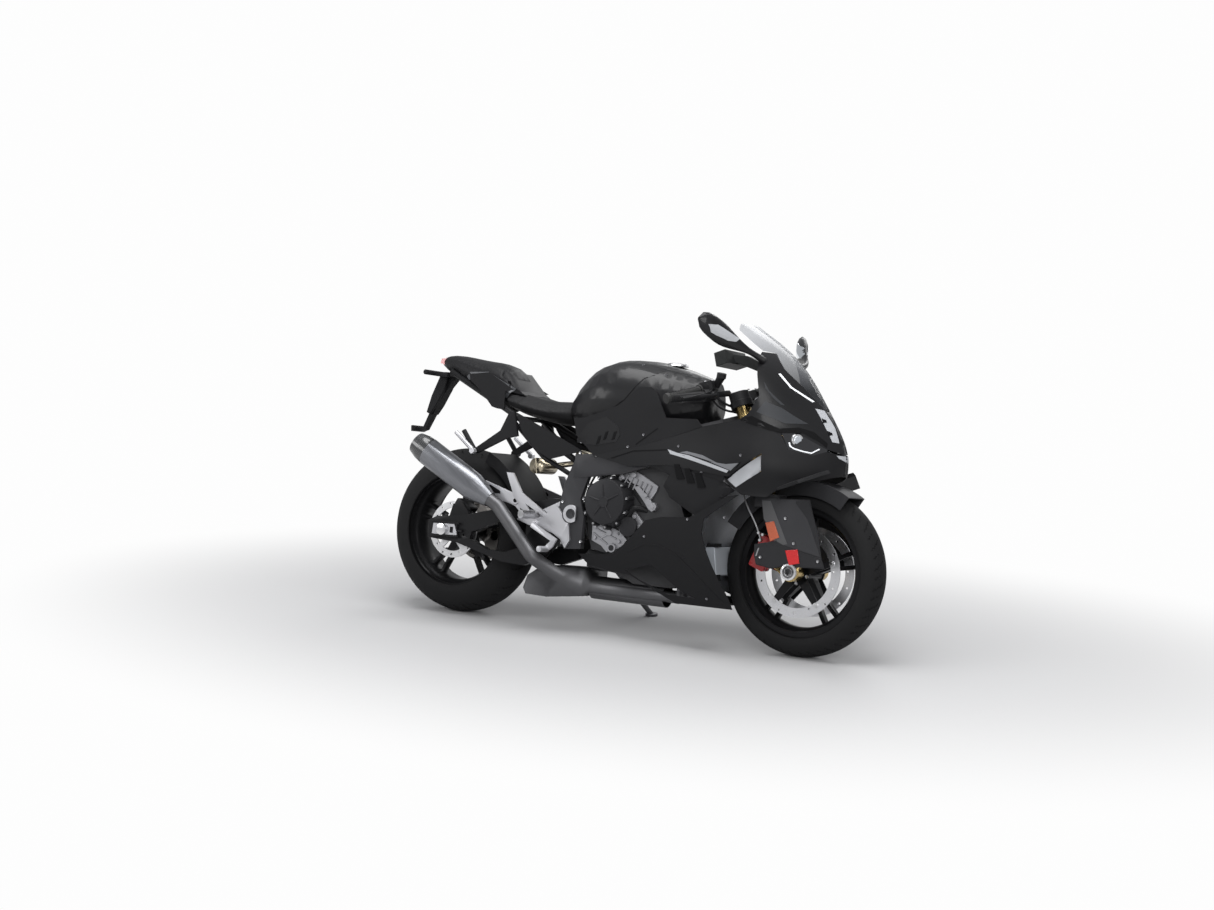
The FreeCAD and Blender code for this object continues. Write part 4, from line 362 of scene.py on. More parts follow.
def surface_of(*nodes):
    """The skin of CAD pieces in the upright frame, to lay other pieces on."""
    draft = bmesh.new()
    for node in nodes:
        draft.from_mesh(frame["nodes"][node].data)
    draft.transform(to_row.inverted())
    tree = BVHTree.FromBMesh(draft)
    draft.free()
    return tree


def skin_y(skin, x, z, side, well_out=700, near_it=180):
    """How far out the skin lies at a point in side view, or at the nearest place that has any."""
    hit = skin.ray_cast(Vector((x, side * well_out, z)), Vector((0, -side, 0)))[0]
    if hit is None:
        hit = skin.find_nearest(Vector((x, side * near_it, z)))[0]
    return hit.y


def gridded(points, axis, step):
    """A flat sheet cut to an outline seen along an axis, with a grid of cuts so that it can bend."""
    others = [place for place in range(3) if place != axis]
    sheet = bmesh.new()
    corners = []
    for point in points:
        spot = [0, 0, 0]
        spot[others[0]], spot[others[1]] = point
        corners.append(sheet.verts.new(spot))
    sheet.faces.new(corners)
    for number, other in enumerate(others):
        places = [point[number] for point in points]
        across = Vector([1 if place == other else 0 for place in range(3)])
        line = min(places) + step
        while line < max(places):
            bmesh.ops.bisect_plane(sheet, geom=sheet.verts[:] + sheet.edges[:] + sheet.faces[:],
                                   plane_co=across * line, plane_no=across)
            line += step
    bmesh.ops.triangulate(sheet, faces=sheet.faces)
    return sheet


def walled(draft, sheet, inward):
    """Gives a bent sheet its thickness and adds it to a draft."""
    grown = bmesh.ops.extrude_face_region(sheet, geom=sheet.faces[:])["geom"]
    fresh = [part for part in grown if isinstance(part, bmesh.types.BMVert)]
    bmesh.ops.translate(sheet, verts=fresh, vec=inward)
    mesh = bpy.data.meshes.new("sheet")
    sheet.to_mesh(mesh)
    sheet.free()
    draft.from_mesh(mesh)
    bpy.data.meshes.remove(mesh)


def laid(draft, points, skin, side, lift=0.8, wall=1.6, step=16):
    """A sheet cut to an outline in side view and laid on a skin."""
    sheet = gridded(points, 1, step)
    for vert in sheet.verts:
        vert.co.y = skin_y(skin, vert.co.x, vert.co.z, side) + side * lift
    walled(draft, sheet, (0, -side * wall, 0))


def laid_pair(name, outlines, skin, body, finish, lift=0.8, wall=1.6, step=16, crease=30, edge=0.0):
    """Sheets laid on both sides of the machine, as one piece."""
    draft = bmesh.new()
    for side in (-1, 1):
        for points in outlines:
            laid(draft, points, skin, side, lift, wall, step)
    return made(name, draft, body, finish, crease, edge)


def line_outline(points, width):
    """The outline of a narrow strip along a line in side view."""
    left, right = [], []
    for index, point in enumerate(points):
        before = Vector(points[max(index - 1, 0)])
        after = Vector(points[min(index + 1, len(points) - 1)])
        along = (after - before).normalized()
        across = Vector((-along.y, along.x)) * width / 2
        left.append(tuple(Vector(point) + across))
        right.append(tuple(Vector(point) - across))
    return left + right[::-1]


def sunk(draft, bar, way, rim, depth):
    """Presses in the end of a bar that faces a way, inside a rim."""
    faces = {face for vert in bar for face in vert.link_faces}
    cap = max(faces, key=lambda face: face.calc_center_median().dot(way))
    bmesh.ops.inset_individual(draft, faces=[cap], thickness=rim)
    bmesh.ops.translate(draft, verts=cap.verts[:], vec=way * -depth)


def bolt(draft, x, y, z, side, radius=6.0, height=3.0):
    """A round-headed bolt with a socket, its head facing out to the side."""
    inner, outer = (x, y - side * height, z), (x, y + side * height, z)
    head = round_bar(draft, inner, outer, radius, radius * 0.82, 14)
    sunk(draft, head, Vector((0, side, 0)), radius * 0.34, height * 0.7)


def circle(centre, radius, count, start=0.0):
    """Places evenly spaced on a circle in side view."""
    for step in range(count):
        angle = 2 * math.pi * step / count + start
        yield centre[0] + radius * math.cos(angle), centre[1] + radius * math.sin(angle)


frame_grey = grained("frame_grey", (0.040, 0.040, 0.043), 0.46, Metallic=0.25)
arm_black = grained("arm_black", (0.014, 0.014, 0.015), 0.40, Metallic=0.2)
bright = grained("bright_steel", (0.66, 0.66, 0.67), 0.28, Metallic=1.0)
silver = grained("cast_silver", (0.46, 0.46, 0.48), 0.40, 500.0, 0.0003, Metallic=0.75)
fastener = grained("fastener_steel", (0.42, 0.42, 0.43), 0.3, Metallic=1.0)
dressed("main_frame", frame_grey, 34, 0.0012)
dressed("subframe", arm_black)
dressed("swingarm", arm_black, 34, 0.0012)

pivot_x, pivot_z = -142, 428
pivot_radius = 33
pivot_flat = 0.62 * pivot_radius
cap_rise = 4
beam_skin = surface_of("main_frame", "rider_footrests")
draft = bmesh.new()
for side in (-1, 1):
    y = skin_y(beam_skin, pivot_x, pivot_z, side)
    rim_points = [(min(x, pivot_x + pivot_flat), z)
                  for x, z in circle((pivot_x, pivot_z), pivot_radius, 32)]
    plate(draft, rim_points, y - side * 2, y + side * cap_rise)
made("pivot_caps", draft, "chassis", silver, 34, 0.0008)
draft = bmesh.new()
for side in (-1, 1):
    y = skin_y(beam_skin, pivot_x, pivot_z, side) + side * cap_rise
    for radius, rise, hollow, corners in ((19, 3, 13, 24), (12, 2, 7, 6)):
        head = round_bar(draft, (pivot_x, y - side, pivot_z), (pivot_x, y + side * rise, pivot_z),
                         radius, radius * 0.94, corners)
        sunk(draft, head, Vector((0, side, 0)), radius - hollow, rise * 0.8)
made("pivot_nuts", draft, "chassis", frame_grey)

draft = bmesh.new()
for side in (-1, 1):
    for x, z in ((-128, 655), (-96, 330), (-176, 318), (-60, 648), (-186, 470)):
        bolt(draft, x, skin_y(beam_skin, x, z, side), z, side, 6.5)
made("frame_bolts", draft, "chassis", fastener)

# The chain adjusters at the ends of the swingarm: bright cast blocks, each with a dark slot.
# Their screws and the rails above and below them are black.
arm_skin = surface_of("swingarm")
adjuster_x, adjuster_z = -680, 320
adjuster_rise = 4
adjuster_outline = [(-774, 341), (-676, 346), (-660, 304), (-672, 294), (-764, 292), (-778, 300)]
draft = bmesh.new()
for side in (-1, 1):
    y = skin_y(arm_skin, adjuster_x, adjuster_z, side)
    plate(draft, adjuster_outline, y - side * 2, y + side * adjuster_rise)
made("chain_adjusters", draft, "chassis", silver, 34, 0.001)
draft = bmesh.new()
for side in (-1, 1):
    y = skin_y(arm_skin, adjuster_x, adjuster_z, side) + side * adjuster_rise
    plate(draft, [(-694, 332), (-680, 333), (-680, 309), (-694, 310)], y - side, y + side * 1.2)
    round_bar(draft, (-660, y - side * 5, 319), (-640, y - side * 5, 319), 5, segments=12)
    for z in (344, 294):
        plate(draft, [(-782, z + 5), (-654, z + 8), (-654, z), (-782, z - 4)], y - side * 6, y + side)
made("adjuster_screws", draft, "chassis", arm_black, 34, 0.0005)

# The engine: cast alloy cases round a plain block, with a dark clutch cover, a bright water pump
# and lower case on the right, and the finned side of the cylinders below the frame.
cover_dark = grained("cover_dark", (0.026, 0.026, 0.028), 0.44, 600.0, 0.0002, Metallic=0.3)
core_grey = grained("core_grey", (0.05, 0.05, 0.052), 0.55, 400.0, 0.0004, Metallic=0.4)
case_grey = grained("case_grey", (0.30, 0.30, 0.315), 0.44, 420.0, 0.0004, Metallic=0.7)
hose_black = grained("hose_black", (0.012, 0.012, 0.013), 0.5)
dressed("engine_block", core_grey, 34, 0.002)
dressed("engine_covers", cover_dark, 34, 0.0015)
engine_skin = surface_of("engine_block", "engine_covers")
engine_half = abs(skin_y(engine_skin, 60, 330, -1))
clutch_x, clutch_z = 1, 483
clutch_centre = (clutch_x, clutch_z)
clutch_radius = 92
clutch_bolts = 11
clutch_start = 2 * math.pi * 0.4 / clutch_bolts
draft = bmesh.new()
cover_y = skin_y(engine_skin, clutch_x, clutch_z, -1)
for x, z in circle(clutch_centre, clutch_radius, clutch_bolts, clutch_start):
    round_bar(draft, (x, -engine_half + 6, z), (x, cover_y + 14, z), 10, 8.5, 18)
for turn_here, length in ((0.5, 52), (1.7, 46), (2.9, 50), (4.1, 44), (5.3, 50)):
    reach = Vector((math.cos(turn_here), 0, math.sin(turn_here)))
    round_bar(draft, Vector((clutch_x, cover_y - 1, clutch_z)) + reach * 18,
              Vector((clutch_x, cover_y + 1, clutch_z)) + reach * (18 + length), 3.4, 3.0, 10)
round_bar(draft, (clutch_x, cover_y + 4, clutch_z), (clutch_x, cover_y - 3, clutch_z), 22, 19, 36)
made("clutch_cover_ribs", draft, "chassis", cover_dark)
draft = bmesh.new()
for x, z in circle(clutch_centre, clutch_radius, clutch_bolts, clutch_start):
    bolt(draft, x, cover_y + 13, z, -1, 5.2)
made("clutch_bolts", draft, "chassis", fastener)

pump_outline = [(91, 480), (118, 452), (147, 422), (136, 398), (106, 371), (69, 365), (50, 382),
                (46, 423), (66, 452)]
case_outline = [(-66, 402), (-4, 398), (44, 384), (74, 362), (84, 352), (72, 333), (48, 316), (2, 300),
                (-22, 322), (-64, 338)]
cylinder_outline = [(30, 606), (86, 608), (124, 594), (196, 557), (190, 536), (170, 506), (150, 498),
                    (100, 545), (56, 566)]
draft = bmesh.new()
plate(draft, pump_outline, -engine_half + 8, -engine_half - 10)
plate(draft, case_outline, -engine_half + 8, -engine_half - 6)
pump_x, pump_z = 85, 408
for x, z, radius, rise in ((pump_x, pump_z, 27, 20), (27, 318, 18, 16), (112, 440, 9, 16),
                           (66, 374, 8, 14), (132, 404, 8, 14),
                           (-52, 388, 8, 12), (-50, 350, 8, 12), (10, 372, 12, 12), (52, 344, 8, 12)):
    round_bar(draft, (x, -engine_half + 4, z), (x, -engine_half - rise, z), radius, radius * 0.93, 28)
for start, end in (((-40, 380), (40, 352)), ((-30, 345), (20, 376)), ((-58, 366), (4, 330)),
                   ((60, 440), (98, 460))):
    round_bar(draft, (start[0], -engine_half - 6, start[1]), (end[0], -engine_half - 6, end[1]), 4, 4, 12)
made("water_pump_case", draft, "chassis", case_grey, 34, 0.001)
draft = bmesh.new()
for x, z, radius, rise in ((pump_x, pump_z, 19, 22), (27, 318, 11, 17.5)):
    round_bar(draft, (x, -engine_half, z), (x, -engine_half - rise, z), radius, radius * 0.96, 28)
for x, z in circle((pump_x, pump_z), 12, 6):
    round_bar(draft, (x, -engine_half - 21, z), (x, -engine_half - 24, z), 2.5, 2.5, 8)
made("pump_cap", draft, "chassis", cover_dark)

cylinder_face = engine_half + 6
draft = bmesh.new()
plate(draft, cylinder_outline, -cylinder_face + 20, -cylinder_face)
for step in range(7):
    share = step / 6
    start = Vector((52 + 118 * share, -cylinder_face - 2, 596 - 40 * share))
    round_bar(draft, start, start + Vector((-18, 0, -40)), 3.2, 3.2, 10)
round_bar(draft, (36, -cylinder_face - 4, 602), (54, -cylinder_face - 4, 570), 9, 9, 16)
for x, z, radius in ((183, 481, 17), (183, 481, 9), (150, 520, 10), (96, 590, 11), (44, 574, 10)):
    round_bar(draft, (x, -cylinder_face + 30, z), (x, -cylinder_face - 8 - 30 / radius, z), radius,
              radius * 0.9, 24)
plate(draft, [(96, 548), (142, 500), (166, 470), (180, 462), (196, 470), (176, 500), (120, 552)],
      -cylinder_face + 20, -cylinder_face - 6)
made("cylinder_side", draft, "chassis", case_grey, 34, 0.001)
draft = bmesh.new()
hose(draft, [(42, -146, 612), (58, -150, 580), (84, -152, 556), (120, -152, 549), (150, -152, 525),
             (170, -150, 499)], 6)
hose(draft, [(24, -140, 606), (40, -144, 575), (70, -146, 545), (104, -150, 520), (128, -146, 485),
             (150, -140, 462)], 5)
hose(draft, [(85, -160, 425), (92, -168, 452), (112, -166, 474), (140, -150, 470), (176, -128, 452),
             (214, -110, 430)], 11)
hose(draft, [(-60, -150, 600), (-74, -156, 570), (-98, -158, 520), (-104, -158, 460), (-100, -154, 400),
             (-86, -150, 350)], 4)
hose(draft, [(-40, -150, 612), (-20, -158, 596), (24, -158, 590), (60, -150, 608), (110, -140, 620)], 5)
made("engine_hoses", draft, "chassis", hose_black)


# The exhaust: steel pipes under the belly, a collector box and a link pipe to the silencer.
# The silencer is brushed titanium with a carbon end cap, pushed on to the link pipe.
def brushed(name, colour, roughness, along, metallic=1.0):
    """Bare metal with fine brush lines along one direction of the upright machine."""
    finish = Finish(name, Roughness=roughness, Metallic=metallic)
    lie = Vector(along).normalized()
    lie_here = to_row.to_3x3() @ lie * per_metre
    lines_a_metre, drawn_out = 260, 0.97
    here = finish.place((lines_a_metre, lines_a_metre, lines_a_metre))
    length = finish.node("VectorMath", {"operation": "DOT_PRODUCT"},
                         (here, tuple(lie_here * drawn_out)), "Value")
    drawn = finish.node("VectorMath", {"operation": "SCALE"}, {"Vector": tuple(lie_here), "Scale": length})
    across = finish.node("VectorMath", {"operation": "SUBTRACT"}, (here, drawn))
    lines = finish.noise(across, 1.0, 3)
    broad = finish.noise(finish.place(), 7.0, 2)
    tone = finish.blend(lines, toned(colour, 0.8), toned(colour, 1.15))
    sheen = finish.between(broad, roughness * 0.85, roughness * 1.15)
    return finish.feed(Base_Color=tone, Roughness=sheen, Normal=finish.bump(lines, 0.00012, 0.35))


def woven(name, colour, size):
    """Carbon cloth under clear resin: fine slanted tows, light and dark by turns."""
    finish = Finish(name, Roughness=0.3, Coat_Weight=0.6, Coat_Roughness=0.08)
    here = finish.place()
    one = finish.node("TexWave", {"bands_direction": "DIAGONAL"}, {"Vector": here, "Scale": size})
    other = finish.node("TexWave", {"bands_direction": "DIAGONAL"},
                        {"Vector": finish.place((1, 1, -1)), "Scale": size})
    weave = one.math("GREATER_THAN", other)
    tone = finish.blend(weave, toned(colour, 0.6), colour)
    return finish.feed(Base_Color=tone, Roughness=finish.between(weave, 0.26, 0.4),
                       Normal=finish.bump(one * other, 0.0001, 0.4))


can_line = Vector((-740, 0, 619)) - Vector((-502, 0, 422))
titanium = brushed("can_titanium", (0.20, 0.205, 0.22), 0.36, can_line, 0.95)
exhaust_grey = grained("exhaust_grey", (0.11, 0.11, 0.115), 0.46, 300.0, 0.0001, Metallic=0.9)
carbon = woven("carbon", (0.030, 0.031, 0.033), 60.0)
dressed("exhaust_system", exhaust_grey, 34)
dressed("silencer", titanium, 30)
dressed("silencer_cap", carbon, 30)


# The wheels: cast five-spoke rims in satin black, each with a road tyre.
# A tyre is one turned band of rubber; its tread has short slanted grooves pressed in.
wheel_black = grained("wheel_black", (0.013, 0.013, 0.014), 0.34, 700.0, 0.0001, Metallic=0.3)
rubber = grained("tyre_rubber", (0.012, 0.012, 0.0125), 0.76, 260.0, 0.00025)
dressed("front_rim", wheel_black, 32)
dressed("rear_rim", wheel_black, 32)

tyre_steps = 300
flange = 230.3
bead = 216.3
wheels = {
    "front_wheel": ("front_tyre", front_x, front_radius, 120.0, 89.0, 75, (14, 30)),
    "rear_wheel": ("rear_tyre", rear_x, rear_radius, 190.0, 152.4, 60, (22, 50)),
}
for body, (node, hub_x, radius, width, bead_width, groove_count, groove_span) in wheels.items():
    crown = width / 2
    core = radius - crown
    half = bead_width / 2
    side = [(core + crown * math.cos(math.radians(step)), crown * math.sin(math.radians(step)))
            for step in (0, 4, 8, 12, 17, 22, 27, 32, 37, 42, 47, 50, 56, 62, 68, 74, 80, 86)]
    side += [(core - 6, crown - 0.4), (core - 6.8, crown - 2.2), (core - 9, crown - 2.4),
             (core - 10, crown - 0.8), ((core + flange) / 2 - 4, (crown + half) / 2 + 1),
             (flange + 5, half + 4.6), (flange + 3.4, half + 6.2), (flange + 1.4, half + 4.8),
             (flange, half - 0.2), (bead, half - 0.2), (bead, half - 9)]
    inner = [(core + (crown - 9) * math.cos(math.radians(43)), (crown - 9) * math.sin(math.radians(43)))]
    profile = [(r, -y) for r, y in side[:0:-1]] + side + inner + [(r, -y) for r, y in inner]
    draft = bmesh.new()
    loop = [draft.verts.new((hub_x, y, radius - r)) for r, y in profile]
    edges = [draft.edges.new((loop[index - 1], loop[index])) for index in range(len(loop))]
    bmesh.ops.spin(draft, geom=loop + edges, cent=(hub_x, 0, radius), axis=(0, 1, 0), angle=2 * math.pi,
                   steps=tyre_steps, use_merge=True)
    bmesh.ops.remove_doubles(draft, verts=draft.verts, dist=0.01)
    bmesh.ops.recalc_face_normals(draft, faces=draft.faces)
    tread = []
    for face in draft.faces:
        middle = face.calc_center_median()
        across = middle.y
        out = math.hypot(middle.x - hub_x, middle.z - radius)
        if not groove_span[0] < abs(across) < groove_span[1] + 16 or out < core + 0.3 * crown:
            continue
        around = math.atan2(middle.z - radius, middle.x - hub_x) / (2 * math.pi) * groove_count / 3
        slant = around + abs(across) / width * 1.5 + (0.5 if across > 0 else 0)
        outer = abs(across) > (groove_span[0] + groove_span[1]) / 2 + 5
        if (slant % 1) < 0.09 or (outer and ((slant + 0.45) % 1) < 0.07):
            tread.append(face)
    bmesh.ops.inset_region(draft, faces=tread, thickness=0.5, depth=-2.2, use_even_offset=True)
    made(node + "_road", draft, body, rubber, 38)
    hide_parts(node)


# Brake discs: drilled steel rings on black carriers, held by rivets with bright washers.
# The rear disc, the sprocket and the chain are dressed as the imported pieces.
def turned_metal(name, colour, roughness, hub_x, hub_z, metallic=1.0):
    """Steel ground in fine circles round a wheel's axle."""
    finish = Finish(name, Metallic=metallic)
    hub = to_row @ Vector((hub_x, 0, hub_z))
    out = finish.node("VectorMath", {"operation": "DISTANCE"},
                      (finish.node("TexCoord", output="Object"), tuple(hub)), "Value")
    rings = (out * 5200).math("SINE") * 0.5 + 0.5
    fine = finish.noise(finish.place(), 420.0, 2)
    mix = rings * 0.4 + fine * 0.6
    return finish.feed(Base_Color=finish.blend(mix, toned(colour, 0.82), toned(colour, 1.1)),
                       Roughness=finish.between(mix, roughness * 0.8, roughness * 1.25),
                       Normal=finish.bump(mix, 0.00008, 0.3))


front_steel = turned_metal("front_disc_steel", (0.74, 0.74, 0.76), 0.30, front_x, front_radius)
rear_steel = turned_metal("rear_disc_steel", (0.62, 0.62, 0.63), 0.34, rear_x, rear_radius)
chain_steel = grained("chain_steel", (0.20, 0.19, 0.18), 0.40, 300.0, 0.0001, Metallic=0.9)
dressed("front_discs", front_steel, 34)
dressed("rear_disc", rear_steel, 34)
dressed("rear_sprocket", chain_steel, 34)
dressed("drive_chain", chain_steel, 34)
disc_half = 66.8
disc_arms = 5
arm_start = math.radians(-54)
bolt_start = math.radians(-18)
carrier_inner, carrier_outer = 61.4, 67.7
front_centre = (front_x, front_radius)
carrier_black = grained("carrier_black", (0.008, 0.008, 0.009), 0.4, 900.0, 0.00006)
draft = bmesh.new()
for side in (-1, 1):
    for step in range(disc_arms):
        turn_here = 2 * math.pi * step / disc_arms + arm_start
        along = Vector((math.cos(turn_here), math.sin(turn_here)))
        across = Vector((-along.y, along.x))
        hub = Vector(front_centre)
        corners = [hub + along * 28 - across * 18, hub + along * 125 - across * 11,
                   hub + along * 125 + across * 11, hub + along * 28 + across * 18]
        plate(draft, corners, side * carrier_inner, side * carrier_outer)
    round_bar(draft, (front_x, side * carrier_inner, front_radius),
              (front_x, side * carrier_outer, front_radius), 47, segments=40)
made("disc_carriers", draft, "front_wheel", carrier_black, 34)
draft = bmesh.new()
for side in (-1, 1):
    for x, z in circle(front_centre, 134, disc_arms, arm_start):
        round_bar(draft, (x, side * (disc_half - 2), z), (x, side * (disc_half + 3), z), 10.5, 9.5, 24)
        round_bar(draft, (x, side * (disc_half + 2), z), (x, side * (disc_half + 5.5), z), 6.5, 5.5, 20)
made("disc_rivets", draft, "front_wheel", bright, 34, 0.0004)
draft = bmesh.new()
for side in (-1, 1):
    for x, z in circle(front_centre, 40, disc_arms, bolt_start):
        bolt(draft, x, side * (disc_half + 2), z, side, 7, 3.5)
made("disc_bolts", draft, "front_wheel", fastener)


# The fork: gold-anodised legs in black yokes, with radial calipers in red.
# The mudguard and the fork covers are one grey moulding, with an amber and a red reflector each side.
fork_rake = Vector((-0.4003, 0, 0.9164))
gold = brushed("fork_gold", (0.62, 0.46, 0.20), 0.26, fork_rake, 1.0)
yoke_black = grained("yoke_black", (0.016, 0.016, 0.017), 0.38, Metallic=0.3)
caliper_red = Finish("caliper_red", Base_Color=(0.33, 0.008, 0.010, 1), Roughness=0.28, Coat_Weight=0.5)
caliper_grain = caliper_red.noise(caliper_red.place(), 300.0, 2)
caliper_red.feed(Roughness=caliper_red.between(caliper_grain, 0.22, 0.36),
                 Normal=caliper_red.bump(caliper_grain, 0.00015, 0.4))
guard_grey_and_facet_shade = grained("guard_black_and_facet_shade", (0.024, 0.024, 0.026), 0.50, 800.0, 0.0001)
cover_grey = grained("fork_cover_grey", (0.040, 0.040, 0.043), 0.50, 800.0, 0.0001)
# A lighter copy of the cover grey, laid on one facet as a painted highlight.
fork_highlight_grey = grained("fork_cover_painted_highlight", (0.085, 0.085, 0.088), 0.46, 800.0, 0.0001)
dressed("fork_legs", gold, 34)
dressed("fork_yokes", yoke_black, 34, 0.0012)
dressed("front_calipers", caliper_red.material, 34, 0.0012)
dressed("front_mudguard", guard_grey_and_facet_shade, 34, 0.001)
dressed("front_axle", bright, 34, 0.0008)
dressed("rear_axle", bright, 34, 0.0008)
dressed("rear_caliper", yoke_black, 34, 0.0012)

guard_skin = surface_of("front_mudguard")
cover_outline = [(604, 546), (619, 476), (655, 432), (676, 402), (700, 392), (772, 377), (843, 363),
                 (828, 434), (799, 510), (784, 552)]
# On each cover face one facet is laid lighter as painted highlight, and one in the guard's darker grey as
# painted shade.
fork_lit_facet = [(606, 540), (640, 540), (716, 396), (700, 392), (676, 402), (655, 432), (619, 476)]
fork_shaded_facet = [(735, 540), (784, 488), (842, 366), (828, 434), (799, 510), (784, 552), (734, 548)]
lower_outline = [(592, 382), (693, 388), (770, 372), (843, 358), (856, 328), (777, 322), (762, 332),
                 (716, 322), (704, 320), (662, 308), (604, 317), (593, 345)]
laid_pair("fork_cover_faces", [cover_outline], guard_skin, "steering", cover_grey,
          lift=1.0, wall=2.0, step=30, crease=20, edge=0.0006)
laid_pair("fork_cover_lit_facets", [fork_lit_facet], guard_skin, "steering", fork_highlight_grey,
          lift=1.8, wall=2.0, step=30, crease=20)
draft = bmesh.new()
for side in (-1, 1):
    laid(draft, fork_shaded_facet, guard_skin, side, 1.8, 2.0, 30)
    laid(draft, lower_outline, guard_skin, side, 1.4, 2.0, 30)
made("fork_cover_lowers_and_shaded_facets", draft, "steering", guard_grey_and_facet_shade, 20, 0.0006)

amber = Finish("amber_reflector", Roughness=0.18, Coat_Weight=0.7)
cells = amber.node("TexVoronoi", values={"Vector": amber.place(), "Scale": 330.0})
amber.feed(Base_Color=amber.blend(cells, (0.50, 0.11, 0.045), (0.34, 0.07, 0.03)),
           Normal=amber.bump(cells, 0.0003, 0.6))
red = Finish("red_reflector", Roughness=0.22, Coat_Weight=0.6)
cells = red.node("TexVoronoi", values={"Vector": red.place(), "Scale": 330.0})
red.feed(Base_Color=red.blend(cells, (0.62, 0.014, 0.016), (0.42, 0.008, 0.010)),
         Normal=red.bump(cells, 0.0003, 0.6))
reflectors = {
    "amber_reflectors": ([(627, 463), (659, 471), (684, 417), (651, 400)], amber.material),
    "red_reflectors": ([(711, 374), (757, 381), (768, 334), (730, 324)], red.material),
}
for name, (points, finish) in reflectors.items():
    laid_pair(name, [points], guard_skin, "steering", finish,
              lift=5.0, wall=5.0, step=60, crease=20, edge=0.0008)
draft = bmesh.new()
for side in (-1, 1):
    for x, z in ((701, 485), (740, 401), (836, 348), (618, 342)):
        bolt(draft, x, skin_y(guard_skin, x, z, side) + side * 1.5, z, side, 6)
    laid(draft, [(606, 372), (611, 374), (603, 345), (598, 344)], guard_skin, side, 2.0, 2.0, 60)
made("fork_cover_bolts", draft, "steering", fastener)
draft = bmesh.new()
for side in (-1, 1):
    round_bar(draft, (front_x, side * 118, front_radius), (front_x, side * 147, front_radius), 25, 23, 40)
foot_grey = grained("foot_grey", (0.22, 0.22, 0.225), 0.4, Metallic=0.8)
made("fork_feet", draft, "steering", foot_grey, 34, 0.001)
draft = bmesh.new()
for side in (-1, 1):
    nut = round_bar(draft, (front_x, side * 140, front_radius), (front_x, side * 152, front_radius),
                    17, 16, 6)
    sunk(draft, nut, Vector((0, side, 0)), 5, 9)
made("front_axle_nuts", draft, "steering", bright, 34, 0.0008)
draft = bmesh.new()
for side in (-1, 1):
    hose(draft, [(515, side * 118, 600), (521, side * 126, 560), (545, side * 134, 515),
                 (575, side * 134, 470), (592, side * 128, 436), (600, side * 120, 405)], 3.2)
braided_line = grained("braided_line", (0.33, 0.33, 0.34), 0.35, 900.0, 0.0002, Metallic=0.8)
made("brake_lines", draft, "steering", braided_line)
draft = bmesh.new()
for side in (-1, 1):
    for x, z in ((596, 425), (612, 420), (603, 400)):
        round_bar(draft, (x, side * 118, z), (x, side * 132, z), 6, 5, 14)
made("brake_unions", draft, "steering", bright)

# The controls: clip-on bars with ribbed rubber grips, levers, switch boxes, brake reservoirs and
# their hoses. The nuts on top of the fork legs are cast silver.
bar_black = grained("bar_black", (0.013, 0.013, 0.014), 0.45)
grip_rubber = Finish("grip_rubber", Base_Color=(0.012, 0.012, 0.012, 1), Roughness=0.72)
grip_cells = grip_rubber.node("TexVoronoi", values={"Vector": grip_rubber.place(), "Scale": 260.0})
grip_rubber.feed(Roughness=grip_rubber.between(grip_cells, 0.62, 0.8),
                 Normal=grip_rubber.bump(grip_cells, 0.0005, 0.6))
dressed("handlebars", bar_black, 34, 0.0008)
grip_out = Vector((304, 345, 866))
grip_in = Vector((365, 215, 909))
rib_pitch = 3.9
for side in (-1, 1):
    outer = Vector((grip_out.x, side * grip_out.y, grip_out.z))
    inner = Vector((grip_in.x, side * grip_in.y, grip_in.z))
    run = inner - outer
    lie = run.to_track_quat("Z", "Y").to_matrix().to_4x4()
    draft = bmesh.new()
    bmesh.ops.create_cone(draft, cap_ends=False, segments=36, radius1=16.6, radius2=16.6,
                          depth=run.length - 12)
    lengthwise = [edge for edge in draft.edges if abs(edge.verts[0].co.z - edge.verts[1].co.z) > 1]
    bmesh.ops.bisect_edges(draft, edges=lengthwise, cuts=34)
    bmesh.ops.connect_verts(draft, verts=draft.verts)
    for vert in draft.verts:
        if round((vert.co.z + run.length / 2) / rib_pitch) % 2:
            vert.co.xy *= 0.95
    round_bar(draft, (0, 0, -run.length / 2 - 4), (0, 0, -run.length / 2 + 8), 17.5, 18.5, 36)
    round_bar(draft, (0, 0, run.length / 2 - 8), (0, 0, run.length / 2), 20, 19, 36)
    draft.transform(Matrix.Translation((outer + inner) / 2) @ lie)
    name = "grip_right" if side < 0 else "grip_left"
    made(name, draft, "steering", grip_rubber.material, 30)
draft = bmesh.new()
for side in (-1, 1):
    round_bar(draft, (376, side * 198, 917), (388, side * 172, 925), 21, 19, 20)
    plate(draft, [(352, 934), (398, 946), (410, 916), (392, 892), (360, 900)], side * 176, side * 206)
    round_bar(draft, (404, side * 170, 930), (428, side * 186, 960), 13, 15, 24)
    round_bar(draft, (428, side * 186, 956), (431, side * 188, 974), 17, 17, 28)
    hose(draft, [(398, side * 196, 912), (412, side * 214, 905), (408, side * 260, 893),
                 (388, side * 320, 876), (372, side * 352, 868)], 4.6)
    hose(draft, [(384, side * 176, 905), (412, side * 150, 880), (436, side * 120, 862),
                 (462, side * 90, 862), (480, side * 60, 850)], 4.5)
    hose(draft, [(372, side * 182, 905), (395, side * 160, 870), (425, side * 136, 845),
                 (470, side * 100, 842), (492, side * 70, 822)], 4)
made("bar_controls", draft, "steering", bar_black, 34, 0.001)
draft = bmesh.new()
for side in (-1, 1):
    for place in ((362, side * 176, 940), (390, side * 176, 944)):
        round_bar(draft, place, (place[0], place[1], place[2] + 5), 4, 4, 12)
    fork_top = Vector((441, side * 107, 903))
    round_bar(draft, fork_top, fork_top + fork_rake * 7, 17, 15, 6)
